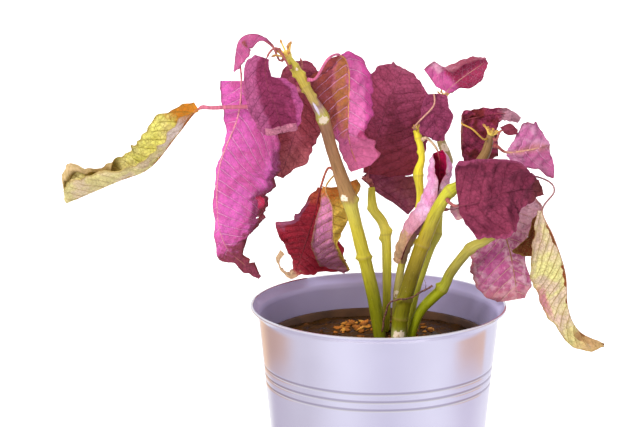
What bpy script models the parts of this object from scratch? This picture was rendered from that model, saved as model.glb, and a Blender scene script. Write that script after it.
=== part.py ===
"""A withered poinsettia in a plain metal pot.

The origin is the centre of the pot's flat bottom, +Z is up and the show side faces -Y. Lengths below
are in millimetres, and heights of the plant are measured from the plane of the pot's rim.
"""

import math

import bmesh
import bpy
from mathutils import Vector

MM = 0.001
GAP = 0.3  # clearance between pieces that touch

# Metal pot
POT_HEIGHT = 135.0
RIM_RADIUS = 75.0
WALL_RADIUS = 70.3  # outside of the wall just under the flared rim
WALL_TAPER = math.tan(math.radians(6.0))
SHEET = 0.8
HEM_RADIUS = 0.8
FLARE_HEIGHT = 5.5
UNDER_HEM = (2.2, 2.6)  # inward from the rim and down, where the flare leaves the hem
NECK = (0.7, 4.0)  # outward from the wall and down from the rim, where the flare bends into the wall
INSIDE_HEM = (3.0, 2.0)  # inward from the rim and down, where the inside meets the hem
GROOVE_DEPTHS = (35.0, 40.0, 45.0)  # below the rim
GROOVE_WIDTH = 2.0
GROOVE_SINK = 0.6
BASE_CHAMFER = 1.5
TURN_STEPS = 36

# Nursery pot and soil
NURSERY_TOP = -20.0
NURSERY_RADIUS = 64.8
NURSERY_LIP = 1.2
NURSERY_LIP_HEIGHT = 4.0
NURSERY_WALL = 1.2
NURSERY_BASE_RADIUS = 46.0
SOIL_EDGE = -23.5
SOIL_CROWN = -18.5
SOIL_CROWN_RADIUS = 26.0
SOIL_SAG = 0.4  # how far the soil's slope hangs below a straight line

# Plant
BLADE_THICKNESS = 0.6
BLADE_ROWS = 8
HALF_COLUMNS = 2
STALK_STEP = 10.0
STALK_STOP = 1.5  # where the narrow stalk ends, short of the blade
STEM_STEP = 11.0
STEM_SIDES_RESOLUTION = 2

# Each stem is a list of (x, y, height above the rim, radius), from the soil upwards.
STEMS = {
    "stem_a": [
        (2, -2, -28, 3.5), (-3, -3, 5, 3.9), (-14, -4, 50, 3.8), (-18, -3, 64, 4.3), (-27, -2, 90, 3.5),
        (-33, 0, 110, 3.5), (-39, 0, 121, 2.5), (-46, 0, 133, 2.9), (-53, 0, 144, 2.0),
    ],
    "stem_b": [
        (4, 8, -30, 2.2), (5, 7, 5, 2.5), (4, 6, 42, 3.0), (-3, 4, 56, 2.8), (-4, 3, 69, 2.0),
    ],
    "stem_c": [
        (10, 15, -30, 2.1), (11, 12, 0, 2.3), (15, 9, 28, 2.4), (20, 7, 38, 2.3), (24, 6, 62, 2.1),
        (23, 5, 77, 2.8), (25, 4, 87, 1.9), (22, 4, 103, 2.2),
    ],
    "stem_d": [
        (11, -6, -28, 4.3), (14, -6, 0, 4.6), (27, -8, 43, 4.1), (38, -8, 66, 3.6), (48, -7, 74, 3.1),
        (60, -2, 88, 2.9), (64, 0, 100, 2.2),
    ],
    "stem_e": [
        (19, 9, -29, 2.1), (21, 7, 0, 2.2), (30, 7, 30, 2.4), (34, 8, 40, 2.8), (36, 10, 60, 2.4),
        (40, 10, 83, 2.9), (36, 9, 98, 2.5), (38, 7, 122, 1.9),
    ],
    "stem_f": [
        (17, 0, -27, 2.6), (24, -2, -5, 2.9), (37, -3, 10, 3.2), (42, -3, 20, 3.0), (53, -3, 34, 3.1),
        (61, -2, 38, 2.6), (72, 3, 43, 2.0),
    ],
}
SOCKET_CLEARANCE = 0.35

# How far each branch has bent away from the show side (towards +Y) at LEAN_HEIGHT above the soil.
# A bent branch sinks and spreads in proportion.
LEANS = {"stem_a": -28, "stem_b": 50, "stem_c": 26, "stem_d": -18, "stem_e": 34, "stem_f": -50}
LEAN_HEIGHT = 160.0
LEAN_SINK = 0.233
LEAN_SPREAD = 0.00064

TENDRIL = [(2, -9, -15), (4, -11, -2), (8, -13, 5), (18, -14, 7), (25, -10, 10), (31, -9, 13)]
TENDRIL_RADIUS = 0.6
TENDRIL_STEP = 4.0

# Dried flower remains: the stem that bears them, their radius and height.
FLOWERS = {
    "flower_a": ("stem_a", 3.6, 6.5),
    "flower_c": ("stem_c", 2.4, 3.5),
    "flower_d": ("stem_d", 3.2, 4.5),
    "flower_e": ("stem_e", 3.0, 5.0),
}
FLOWER_PRONGS = 4
CUP_FOOT = 0.35  # share of the radius where the cup stands on the stem
CUP_WAIST = (0.75, 0.3)  # shares of the radius and of the height
CUP_NOTCH = (0.6, 0.55)  # shares of the radius and of the height between two prongs
CUP_FLOOR = 0.45  # share of the height

# Looks: base colour, roughness, metallic
METAL = ((0.72, 0.70, 0.78, 1), 0.35, 1.0)
PLASTIC = ((0.09, 0.06, 0.045, 1), 0.5, 0.0)
PEAT = ((0.045, 0.025, 0.012, 1), 0.6, 0.0)
GREEN = ((0.36, 0.42, 0.03, 1), 0.45, 0.0)
TAN = ((0.36, 0.27, 0.12, 1), 0.45, 0.0)
MAGENTA = ((0.45, 0.09, 0.28, 1), 0.6, 0.0)
PURPLE = ((0.20, 0.03, 0.13, 1), 0.65, 0.0)
MAROON = ((0.16, 0.02, 0.05, 1), 0.65, 0.0)
CRIMSON = ((0.30, 0.015, 0.05, 1), 0.6, 0.0)
PALE = ((0.62, 0.35, 0.48, 1), 0.6, 0.0)
YELLOW = ((0.55, 0.50, 0.14, 1), 0.6, 0.0)
AMBER = ((0.60, 0.38, 0.08, 1), 0.6, 0.0)
GOLD = ((0.55, 0.30, 0.05, 1), 0.6, 0.0)
BROWN = ((0.08, 0.03, 0.02, 1), 0.7, 0.0)


def clear_scene():
    for item in list(bpy.data.objects):
        bpy.data.objects.remove(item, do_unlink=True)


def new_collection(name):
    made = bpy.data.collections.new(name)
    bpy.context.scene.collection.children.link(made)
    return made


def material(name, look):
    colour, roughness, metallic = look
    made = bpy.data.materials.new(name)
    made.use_nodes = True
    shader = made.node_tree.nodes["Principled BSDF"]
    shader.inputs["Base Color"].default_value = colour
    shader.inputs["Roughness"].default_value = roughness
    shader.inputs["Metallic"].default_value = metallic
    return made


def add_object(name, data, look, collection):
    made = bpy.data.objects.new(name, data)
    made.data.materials.append(material(name, look))
    collection.objects.link(made)
    return made


def from_rim(point):
    """A point of the plant, whose height counts from the rim, in metres."""
    return Vector((point[0], point[1], point[2] + POT_HEIGHT)) * MM


# Turned pieces


def turned(name, profile, look, collection):
    """A solid turned round the Z axis from (radius, height) points that start and end on the axis."""
    mesh = bpy.data.meshes.new(name)
    points = [(radius * MM, 0.0, height * MM) for radius, height in profile]
    edges = [(i, i + 1) for i in range(len(points) - 1)]
    mesh.from_pydata(points, edges, [])
    made = add_object(name, mesh, look, collection)
    screw = made.modifiers.new("Turn", "SCREW")
    screw.steps = TURN_STEPS
    screw.render_steps = TURN_STEPS
    screw.use_merge_vertices = True
    screw.merge_threshold = 0.00001
    screw.use_smooth_shade = True
    return made


def pot_wall_radius(below_rim):
    return WALL_RADIUS - (below_rim - FLARE_HEIGHT) * WALL_TAPER


def pot_profile():
    """The metal pot: its floor, up the inside, over the hemmed rim and down the outside."""
    outside = []
    hem_centre = RIM_RADIUS - HEM_RADIUS
    for angle in (90, 30, -30, -90):
        turn = math.radians(angle)
        x = hem_centre + HEM_RADIUS * math.cos(turn)
        outside.append((x, POT_HEIGHT - HEM_RADIUS + HEM_RADIUS * math.sin(turn)))
    outside.append((RIM_RADIUS - UNDER_HEM[0], POT_HEIGHT - UNDER_HEM[1]))
    outside.append((WALL_RADIUS + NECK[0], POT_HEIGHT - NECK[1]))
    outside.append((WALL_RADIUS, POT_HEIGHT - FLARE_HEIGHT))
    for depth in GROOVE_DEPTHS:
        for shift, sink in ((-0.5, 0), (0, GROOVE_SINK), (0.5, 0)):
            below = depth + shift * GROOVE_WIDTH
            outside.append((pot_wall_radius(below) - sink, POT_HEIGHT - below))
    outside.append((pot_wall_radius(POT_HEIGHT - BASE_CHAMFER), BASE_CHAMFER))
    outside.append((pot_wall_radius(POT_HEIGHT) - BASE_CHAMFER, 0))

    inside = [(0, SHEET), (pot_wall_radius(POT_HEIGHT) - BASE_CHAMFER - SHEET, SHEET)]
    inside.append((pot_wall_radius(POT_HEIGHT - BASE_CHAMFER) - SHEET, BASE_CHAMFER + SHEET))
    for depth in reversed(GROOVE_DEPTHS):
        for shift, sink in ((0.5, 0), (0, GROOVE_SINK), (-0.5, 0)):
            below = depth + shift * GROOVE_WIDTH
            inside.append((pot_wall_radius(below) - sink - SHEET, POT_HEIGHT - below))
    inside.append((WALL_RADIUS - SHEET, POT_HEIGHT - FLARE_HEIGHT))
    inside.append((RIM_RADIUS - INSIDE_HEM[0], POT_HEIGHT - INSIDE_HEM[1]))
    return inside + outside + [(0, 0)]


def nursery_radius(height):
    """Outside of the nursery pot's wall at a height above the pot's bottom."""
    top = POT_HEIGHT + NURSERY_TOP
    return NURSERY_BASE_RADIUS + (NURSERY_RADIUS - NURSERY_BASE_RADIUS) * height / top


def nursery_profile():
    floor = SHEET + GAP
    top = POT_HEIGHT + NURSERY_TOP
    lip = top - NURSERY_LIP_HEIGHT
    return [
        (0, floor + NURSERY_WALL),
        (nursery_radius(floor + NURSERY_WALL) - NURSERY_WALL, floor + NURSERY_WALL),
        (nursery_radius(top) - NURSERY_WALL, top),
        (nursery_radius(top) + NURSERY_LIP, top),
        (nursery_radius(top) + NURSERY_LIP, lip),
        (nursery_radius(lip), lip),
        (nursery_radius(floor), floor),
        (0, floor),
    ]


def soil_profile():
    bottom = SHEET + 2 * GAP + NURSERY_WALL
    edge = POT_HEIGHT + SOIL_EDGE
    crown = POT_HEIGHT + SOIL_CROWN
    inset = NURSERY_WALL + GAP * 1.1
    middle = (SOIL_CROWN_RADIUS + NURSERY_RADIUS) / 2
    return [
        (0, crown),
        (SOIL_CROWN_RADIUS, crown - SOIL_SAG),
        (middle, (crown + edge) / 2 - SOIL_SAG),
        (nursery_radius(edge) - inset, edge),
        (nursery_radius(bottom) - inset, bottom),
        (0, bottom),
    ]


# Curves through points


def catmull_rom(a, b, c, d, t):
    return 0.5 * (
        2 * b + (c - a) * t + (2 * a - 5 * b + 4 * c - d) * t * t + (3 * b - a - 3 * c + d) * t * t * t
    )


def smooth(points, pieces=8):
    """Points along a smooth curve through the given vectors, with the index of each given vector."""
    ends = [2 * points[0] - points[1]] + points + [2 * points[-1] - points[-2]]
    made = []
    knots = []
    for i in range(len(points) - 1):
        knots.append(len(made))
        for step in range(pieces):
            made.append(catmull_rom(*ends[i : i + 4], step / pieces))
    knots.append(len(made))
    made.append(points[-1].copy())
    return made, knots


def lengths_along(points):
    total = [0.0]
    for a, b in zip(points, points[1:]):
        total.append(total[-1] + (b - a).to_3d().length)
    return total


def at_length(points, total, wanted):
    for i in range(len(points) - 1):
        if total[i + 1] >= wanted:
            share = (wanted - total[i]) / max(total[i + 1] - total[i], 1e-12)
            return points[i].lerp(points[i + 1], share)
    return points[-1].copy()


def evenly(points, step):
    """The curve through the points, read again at about equal steps."""
    curve, _ = smooth(points)
    total = lengths_along(curve)
    count = max(2, round(total[-1] / step))
    return [at_length(curve, total, total[-1] * i / count) for i in range(count + 1)]


def profile_at(pairs, u):
    """The value at u of a smooth graph through (u, value) pairs."""
    if u <= pairs[0][0]:
        return pairs[0][1]
    for (u0, v0), (u1, v1) in zip(pairs, pairs[1:]):
        if u <= u1:
            share = (u - u0) / (u1 - u0)
            share = share * share * (3 - 2 * share)
            return v0 + (v1 - v0) * share
    return pairs[-1][1]


# Stems


def lean_at(stem, height):
    """How far the branch has bent towards +Y at a height above the rim."""
    share = max(0.0, height - SOIL_CROWN) / LEAN_HEIGHT
    return LEANS[stem] * share * share


def leaned(point, lean):
    """A point of a branch, with its radius if it has one, after the branch has bent."""
    made = Vector(point)
    made.x *= 1 + lean * LEAN_SPREAD
    made.y += lean
    made.z -= lean * LEAN_SINK
    return made


def leaned_stem(name):
    return [leaned(point, lean_at(name, point[2])) for point in STEMS[name]]


def stem_route(name):
    """The stem's centre line with its radius as a fourth number, in millimetres."""
    return evenly(leaned_stem(name), STEM_STEP)


def tube(name, route, look, collection, resolution=STEM_SIDES_RESOLUTION):
    """A round tube along (x, y, height above the rim, radius) points."""
    curve = bpy.data.curves.new(name, "CURVE")
    curve.dimensions = "3D"
    curve.bevel_depth = MM
    curve.bevel_resolution = resolution
    curve.use_fill_caps = True
    spline = curve.splines.new("POLY")
    spline.points.add(len(route) - 1)
    for target, point in zip(spline.points, route):
        target.co = (*from_rim(point), 1)
        target.radius = point[3]
    return add_object(name, curve, look, collection)


def mesh_from_curve(item, collection):
    """The tube as a closed mesh object that can cut."""
    graph = bpy.context.evaluated_depsgraph_get()
    mesh = bpy.data.meshes.new_from_object(item.evaluated_get(graph))
    work = bmesh.new()
    work.from_mesh(mesh)
    bmesh.ops.remove_doubles(work, verts=work.verts, dist=0.000001)
    work.to_mesh(mesh)
    work.free()
    made = bpy.data.objects.new(item.name + "_cutter", mesh)
    made.matrix_world = item.matrix_world
    collection.objects.link(made)
    bpy.data.objects.remove(item, do_unlink=True)
    return made


def cut_socket(soil, name, cutters):
    """A blind hole in the soil, a little wider than the stem that stands in it."""
    route = [point + Vector((0, 0, 0, SOCKET_CLEARANCE)) for point in stem_route(name)]
    route[0].z -= SOCKET_CLEARANCE
    cutter = mesh_from_curve(tube(name + "_socket", route, PEAT, cutters), cutters)
    cutter.hide_render = True
    cutter.display_type = "WIRE"
    cut = soil.modifiers.new(name, "BOOLEAN")
    cut.operation = "DIFFERENCE"
    cut.object = cutter


def clear_of_stem(name, toward):
    """The point just off the stem's bark that is nearest to a point, where a leaf stalk joins."""
    route, _ = smooth(leaned_stem(name))
    nearest = min(route, key=lambda point: (point.to_3d() - toward).length)
    away = toward - nearest.to_3d()
    return nearest.to_3d() + away.normalized() * (nearest[3] + GAP + BLADE_THICKNESS)


# Leaves


def frames_along(points, start, face):
    """A unit face vector at each point, turned along the route from the one given at the start index."""
    tangents = []
    for i in range(len(points)):
        before = points[max(i - 1, 0)]
        after = points[min(i + 1, len(points) - 1)]
        tangents.append((after - before).normalized())
    faces = [None] * len(points)
    faces[start] = (face - tangents[start] * face.dot(tangents[start])).normalized()
    for order in (range(start + 1, len(points)), range(start - 1, -1, -1)):
        last = start
        for i in order:
            turned_face = tangents[last].rotation_difference(tangents[i]) @ faces[last]
            faces[i] = (turned_face - tangents[i] * turned_face.dot(tangents[i])).normalized()
            last = i
    return tangents, faces


def half_row(middle, across, face, width, fold, curl):
    """Points from beside the midrib to the margin, on an arc that turns from the fold angle by the curl."""
    row = []
    point = middle.copy()
    for column in range(HALF_COLUMNS):
        angle = math.radians(fold + curl * (column + 0.5) / HALF_COLUMNS)
        point = point + (across * math.cos(angle) + face * math.sin(angle)) * (width / HALF_COLUMNS)
        row.append(point)
    return row


def leaf(name, look, collection, stem, stalk, midrib, face, left, right, **shape):
    """One leaf with its stalk.

    The blade's halves are given by (share of the midrib, value) pairs: widths, fold angles towards the
    face, and curl, the further turn of the half on its way to the margin. Right is as seen facing the
    blade with its tip down. A leaf hangs as one piece from the height where it joins the stem, unless
    it follows the stem down.
    """
    flat = [(0, 0)]
    joint_height = stalk[0][2]
    route = []
    for point in stalk + midrib:
        follows_stem = shape.get("follows_stem") and point[2] < joint_height
        route.append(leaned(point, lean_at(stem, point[2] if follows_stem else joint_height)))
    route.insert(0, clear_of_stem(stem, route[0]))
    curve, knots = smooth(route)
    total = lengths_along(curve)
    blade_start = total[knots[len(stalk) + 1]]
    blade_length = total[-1] - blade_start
    stalk_rows = max(2, round(blade_start / STALK_STEP))
    rows = shape.get("rows", BLADE_ROWS)
    places = [(blade_start - STALK_STOP) * i / stalk_rows for i in range(stalk_rows + 1)]
    places += [blade_start + blade_length * i / rows for i in range(rows + 1)]
    points = [at_length(curve, total, place) for place in places]
    tangents, faces = frames_along(points, stalk_rows + 2, Vector(face))
    half_stalk = shape.get("stalk_width", 1.8) / 2

    grid = []
    for i, middle in enumerate(points):
        u = (places[i] - blade_start) / blade_length
        facing = faces[i]
        across = facing.cross(tangents[i])
        row = [middle]
        for side, widths, fold, curl in (
            (-1, left, "left_fold", "left_curl"),
            (1, right, "right_fold", "right_curl"),
        ):
            if u < 0:
                half = half_row(middle, across * side, facing, half_stalk, 0, 0)
            else:
                half = half_row(
                    middle,
                    across * side,
                    facing,
                    max(half_stalk * (1 - u), profile_at(widths, u)),
                    profile_at(shape.get(fold, flat), u),
                    profile_at(shape.get(curl, flat), u),
                )
            row = half[::-1] + row if side < 0 else row + half
        grid.append(row)

    columns = 2 * HALF_COLUMNS + 1
    verts = [from_rim(point) for row in grid for point in row]
    faces_list = []
    for i in range(len(grid) - 1):
        for j in range(columns - 1):
            a = i * columns + j
            faces_list.append((a, a + 1, a + 1 + columns, a + columns))
    mesh = bpy.data.meshes.new(name)
    mesh.from_pydata(verts, [], faces_list)
    mesh.shade_smooth()
    made = add_object(name, mesh, look, collection)
    solidify = made.modifiers.new("Thickness", "SOLIDIFY")
    solidify.thickness = BLADE_THICKNESS * MM
    solidify.offset = 0
    return made


def left_leaves(parts):
    leaf(
        "bract_far_left", YELLOW, parts, "stem_a",
        stalk=[(-60, -7, 119), (-94, -13, 118)],
        midrib=[
            (-104, -12, 117), (-116, -14, 103), (-132, -15, 84), (-151, -16, 76), (-180, -14, 63),
        ],
        face=(0, -0.3, 1),
        right=[(0, 3), (0.16, 14), (0.55, 16), (0.75, 19), (0.9, 17), (1, 4)],
        left=[(0, 5), (0.2, 16), (0.5, 17), (0.7, 22), (0.9, 22), (1, 6)],
        right_fold=[(0, 20), (0.1, 50), (0.6, 58), (1, 70)],
        left_fold=[(0, 30), (0.1, 60), (1, 40)],
        left_curl=[(0, 10), (1, 20)],
    )
    leaf(
        "bract_long_left", MAGENTA, parts, "stem_a",
        stalk=[(-55, 5, 143), (-70, 6, 154), (-80, 4, 145)],
        midrib=[
            (-80, 3, 130), (-82, 1, 110), (-93, 1, 80), (-94, 2, 50), (-89, 3, 33), (-80, 4, 24),
            (-70, 5, 15),
        ],
        face=(0.2, -1, 0.1),
        right=[
            (0, 4), (0.05, 16), (0.16, 24), (0.31, 36), (0.5, 37), (0.62, 33), (0.78, 25), (0.87, 5),
            (1, 1.5),
        ],
        left=[(0, 12), (0.1, 11), (0.26, 4), (0.78, 5), (0.85, 3), (1, 1)],
        left_fold=[(0, -5), (0.16, -25), (0.37, -70), (0.66, -60), (0.85, -20)],
        right_curl=[(0, -15), (0.3, -35), (0.5, -35), (0.85, -15)],
        stalk_width=1.2, rows=11,
    )
    leaf(
        "bract_front_purple", PURPLE, parts, "stem_a",
        stalk=[(-52, -6, 139), (-59, -10, 151)],
        midrib=[(-65, -15, 146), (-65, -17, 133), (-58, -18, 113), (-56, -22, 105), (-57, -28, 110)],
        face=(0, -1, 0.1),
        right=[(0, 1.5), (0.2, 3), (0.27, 11), (0.42, 15), (0.6, 15), (0.8, 10), (1, 9)],
        left=[(0, 2), (0.2, 11), (0.5, 15), (0.7, 13), (1, 9)],
        stalk_width=1.2, rows=10,
    )
    leaf(
        "bract_top_hook", MAGENTA, parts, "stem_a",
        stalk=[(-58, -4, 143)],
        midrib=[(-63, -4, 153), (-72, -5, 158), (-81, -5, 154), (-84, -6, 137)],
        face=(0, 0, 1),
        right=[(0, 2), (0.15, 5), (0.35, 10), (0.7, 11), (1, 2)],
        left=[(0, 2), (0.45, 4), (0.7, 4), (1, 2)],
        right_fold=[(0, -20), (0.2, -45), (0.8, -40), (1, -20)],
        left_fold=[(0, -20), (0.2, -45), (0.8, -40), (1, -20)],
        stalk_width=1.2, rows=6,
    )
    leaf(
        "bract_behind_stem", MAROON, parts, "stem_a",
        stalk=[(-45, 7, 138)],
        midrib=[(-46, 12, 140), (-44, 17, 118), (-52, 22, 88), (-58, 23, 70)],
        face=(0, -1, 0),
        right=[(0, 2), (0.15, 10), (0.4, 14), (0.8, 11), (1, 2)],
        left=[(0, 2), (0.15, 15), (0.4, 17), (0.75, 13), (1, 2)],
        stalk_width=1.2,
    )
    leaf(
        "bract_centre_left", MAGENTA, parts, "stem_a",
        stalk=[(-37, -4, 133), (-30, -9, 145)],
        midrib=[(-23, 2, 145), (-18, 11, 134), (-18, 13, 96), (-12, 8, 78)],
        face=(0, -1, 0),
        right=[(0, 1.5), (0.2, 13), (0.56, 17), (0.74, 11), (0.9, 14), (1, 8)],
        left=[(0, 2), (0.08, 14), (0.2, 23), (0.35, 23), (0.5, 17), (0.65, 11), (0.8, 6), (1, 5)],
        right_fold=[(0, 20)], right_curl=[(0, -50), (0.7, -40), (0.9, 10)],
        left_fold=[(0, -30), (0.12, -12), (0.3, -6)],
        stalk_width=1.4, rows=9,
    )


def low_leaves(parts):
    leaf(
        "bract_low_left", CRIMSON, parts, "stem_a",
        stalk=[(-30, 6, 79)],
        midrib=[(-34, 14, 66), (-38, 28, 45), (-49, 64, 4), (-56, 71, 1), (-60, 70, 8), (-57, 69, 14)],
        face=(0, -1, 0.4),
        right=[(0, 2), (0.1, 8), (0.3, 16), (0.5, 25), (0.62, 26), (0.7, 13), (0.78, 3), (1, 2)],
        left=[(0, 2), (0.1, 6), (0.3, 11), (0.4, 21), (0.54, 12), (0.68, 4), (1, 2)],
        stalk_width=1.4, rows=12, follows_stem=True,
    )
    leaf(
        "leaf_golden", AMBER, parts, "stem_a",
        stalk=[(-22, 6, 79)],
        midrib=[(-31, 7, 68), (-27, 9, 55), (-26, 17, 33), (-17, 42, 9)],
        face=(0, -1, 0.2),
        right=[(0, 2), (0.12, 16), (0.2, 14), (0.38, 9), (0.5, 2), (1, 1)],
        left=[(0, 2), (0.16, 7), (0.36, 11), (0.56, 14), (0.9, 13), (1, 3)],
        right_fold=[(0, -10)], left_fold=[(0, -25), (0.5, -15)],
        stalk_width=1.4, follows_stem=True,
    )


def centre_leaves(parts):
    leaf(
        "bract_dark_large", PURPLE, parts, "stem_b",
        stalk=[(-5, 4, 73)],
        midrib=[(-6, 4, 77), (2, 4, 108), (12, 8, 135), (15, 26, 134), (17, 32, 125)],
        face=(0, -1, 0),
        right=[(0, 3), (0.25, 10), (0.4, 15), (0.55, 18), (0.74, 7), (1, 3)],
        left=[(0, 9), (0.08, 25), (0.16, 31), (0.4, 30), (0.6, 22), (0.76, 7), (1, 3)],
        right_fold=[(0, -5)], left_fold=[(0, -8), (0.45, -8), (0.7, 0)],
        right_curl=[(0, 0), (0.4, -20), (0.7, -10), (1, 0)],
        left_curl=[(0, 0), (0.4, -15), (0.7, -10), (1, 0)],
        rows=9,
    )
    leaf(
        "bract_brown_low", MAROON, parts, "stem_b",
        stalk=[(-4, 9, 70)],
        midrib=[(-9, 14, 73), (0, 16, 66), (10, 17, 59), (19, 16, 51)],
        face=(0, -1, 0),
        right=[(0, 5), (0.2, 11), (0.45, 16), (0.75, 23), (1, 14)],
        left=[(0, 1.5), (0.5, 3), (1, 2)],
        rows=6,
    )
    leaf(
        "bract_dark_small", PURPLE, parts, "stem_c",
        stalk=[(20, -4, 106), (23, -14, 112), (31, -14, 121)],
        midrib=[(31, -9, 127), (33, -9, 110), (35, -8, 99)],
        face=(0, -1, 0),
        right=[(0, 4), (0.06, 8), (0.5, 10), (0.7, 8), (1, 2)],
        left=[(0, 3), (0.3, 8), (0.78, 9), (1, 2)],
        stalk_width=1.0, rows=5,
    )
    leaf(
        "bract_top_right", MAGENTA, parts, "stem_e",
        stalk=[(38, -2, 120)],
        midrib=[(39, -2, 127), (47, -3, 135), (62, 1, 145)],
        face=(0, -1, 0),
        right=[(0, 7), (0.08, 19), (0.2, 19), (0.32, 13), (0.75, 7), (1, 3)],
        left=[(0, 2), (0.45, 8), (0.7, 8), (1, 1.5)],
        rows=7,
    )
    leaf(
        "bract_keyhole", PALE, parts, "stem_c",
        stalk=[(28, -1, 99)],
        midrib=[(34, 0, 91), (35, 1, 77), (31, -3, 60), (19, -3, 43), (13, 1, 26)],
        face=(0, -1, 0),
        right=[(0, 6), (0.14, 19), (0.3, 16), (0.42, 9), (1, 8)],
        left=[(0, 6), (0.14, 19), (0.45, 23), (0.6, 22), (1, 13)],
        right_curl=[(0, 60), (0.14, 130), (1, 130)],
        left_curl=[(0, 60), (0.14, 130), (1, 140)],
        stalk_width=1.4, rows=10, follows_stem=True,
    )
    leaf(
        "bract_pale_scrap", PALE, parts, "stem_d",
        stalk=[(39, -3, 57)],
        midrib=[(41, -2, 57), (53, -2, 58)],
        face=(0, -1, 0),
        right=[(0, 2), (0.3, 3), (0.7, 3), (1, 2)],
        left=[(0, 2), (0.3, 7), (0.7, 6), (1, 3)],
        rows=3,
    )


def right_leaves(parts):
    leaf(
        "bract_ribbon", MAROON, parts, "stem_d",
        stalk=[(59, -6, 99), (53, -8, 105)],
        midrib=[(47, 3, 107), (59, 10, 109), (72, 8, 111), (81, 8, 107)],
        face=(-1, 0, 0),
        right=[
            (0, 6), (0.06, 22), (0.2, 33), (0.36, 33), (0.48, 28), (0.55, 12), (0.64, 6), (1, 2),
        ],
        left=[(0, 3), (0.1, 6), (0.5, 5), (1, 2)],
        stalk_width=1.2, rows=10,
    )
    leaf(
        "bract_scrap", MAROON, parts, "stem_d",
        stalk=[(67, -5, 98)],
        midrib=[(70, -5, 104), (79, -5, 103)],
        face=(0, -1, 0),
        right=[(0, 2), (0.5, 4), (1, 2)],
        left=[(0, 2), (0.5, 3), (1, 2)],
        stalk_width=1.2, rows=3,
    )
    leaf(
        "bract_right_pink", MAGENTA, parts, "stem_d",
        stalk=[(68, -4, 94)],
        midrib=[(73, -5, 91), (85, -4, 92), (98, 1, 94)],
        face=(0, -1, 0),
        right=[(0, 2), (0.15, 6), (0.42, 16), (0.72, 16), (1, 2)],
        left=[(0, 2), (0.35, 10), (0.6, 12), (0.8, 17), (1, 14)],
        stalk_width=1.4,
    )
    leaf(
        "bract_crumpled", PURPLE, parts, "stem_d",
        stalk=[(40, -16, 64)],
        midrib=[(45, -20, 63), (60, -23, 67), (78, -19, 72), (94, -9, 69)],
        face=(0, -1, 0),
        right=[(0, 7), (0.07, 21), (0.14, 26), (0.33, 24), (0.65, 17), (0.8, 10), (1, 2)],
        left=[(0, 5), (0.12, 21), (0.38, 25), (0.47, 24), (0.58, 18), (0.72, 11), (1, 2)],
        rows=9,
    )
    leaf(
        "bract_right_hanging", PALE, parts, "stem_f",
        stalk=[(67, 5, 56)],
        midrib=[(62, 13, 66), (70, 14, 48), (77, 13, 28), (82, 11, 0)],
        face=(0, -1, 0),
        right=[(0, 2), (0.14, 28), (0.2, 31), (0.28, 27), (0.4, 14), (0.6, 7), (0.85, 10), (1, 4)],
        left=[(0, 3), (0.2, 7), (0.38, 15), (0.65, 25), (0.82, 24), (1, 12)],
        stalk_width=1.6, rows=9,
    )
    leaf(
        "leaf_far_right", YELLOW, parts, "stem_d",
        stalk=[(72, 5, 79), (95, 2, 74), (101, -3, 68)],
        midrib=[
            (94, -6, 57), (101, -7, 41), (108, -7, 20), (110, -7, -1), (117, -6, -15), (132, -4, -23),
        ],
        face=(-1, 0, -0.2),
        right=[(0, 3), (0.17, 14), (0.36, 21), (0.56, 17), (0.72, 10), (0.92, 8), (1, 3)],
        left=[(0, 2), (0.1, 15), (0.2, 29), (0.3, 12), (0.65, 9), (1, 3)],
        right_fold=[(0, 50), (0.1, 64), (0.65, 64), (1, 50)],
        left_fold=[(0, 50), (0.12, 60), (1, 60)],
        stalk_width=1.0, rows=11,
    )


def flower(name, parts):
    """The dried remains on a stem tip: a cup whose edge rises in prongs."""
    stem, radius, height = FLOWERS[name]
    before, last = [point.to_3d() for point in stem_route(stem)[-2:]]
    along = (last - before).normalized()
    lean = Vector((0, 0, 1)).rotation_difference(along)
    tip = from_rim(last + along * GAP * 1.2)
    sides = FLOWER_PRONGS * 2
    rings = [[], [], []]
    for i in range(sides):
        turn = 2 * math.pi * i / sides
        direction = Vector((math.cos(turn), math.sin(turn), 0))
        rings[0].append(direction * radius * CUP_FOOT)
        rings[1].append(direction * radius * CUP_WAIST[0] + Vector((0, 0, height * CUP_WAIST[1])))
        spread, rise = (1.0, 1.0) if i % 2 == 0 else CUP_NOTCH
        rings[2].append(direction * radius * spread + Vector((0, 0, height * rise)))
    rings.append([Vector((0, 0, height * CUP_FLOOR))])
    verts = [tip]
    verts += [tip + lean @ point * MM for ring in rings for point in ring]
    faces = []
    for i in range(sides):
        after = (i + 1) % sides
        faces.append((0, 1 + after, 1 + i))
        for ring in range(2):
            low = 1 + ring * sides
            faces.append((low + i, low + after, low + sides + after, low + sides + i))
        top = 1 + 2 * sides
        faces.append((top + i, top + after, len(verts) - 1))
    mesh = bpy.data.meshes.new(name)
    mesh.from_pydata(verts, [], faces)
    return add_object(name, mesh, GOLD, parts)


def build():
    clear_scene()
    parts = new_collection("withered_poinsettia")
    cutters = new_collection("cutters")
    turned("metal_pot", pot_profile(), METAL, parts)
    turned("nursery_pot", nursery_profile(), PLASTIC, parts)
    soil = turned("soil", soil_profile(), PEAT, parts)
    for name in STEMS:
        tube(name, stem_route(name), TAN if name == "stem_a" else GREEN, parts)
        cut_socket(soil, name, cutters)
    left_leaves(parts)
    low_leaves(parts)
    centre_leaves(parts)
    right_leaves(parts)
    for name in FLOWERS:
        flower(name, parts)
    wisp = [Vector((*point, TENDRIL_RADIUS)) for point in TENDRIL]
    tube("dried_tendril", evenly(wisp, TENDRIL_STEP), BROWN, parts, resolution=1)


build()
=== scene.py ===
"""Looks for the withered poinsettia in its plain metal pot.

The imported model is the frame. Points and lengths are in millimetres, with heights counted from the plane
of the pot's rim, and become metres when a mesh is made. Angles are in degrees and colours are linear.
"""

import math
import random
from itertools import repeat
from types import SimpleNamespace

import bpy
from mathutils import Matrix, Vector, noise


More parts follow.
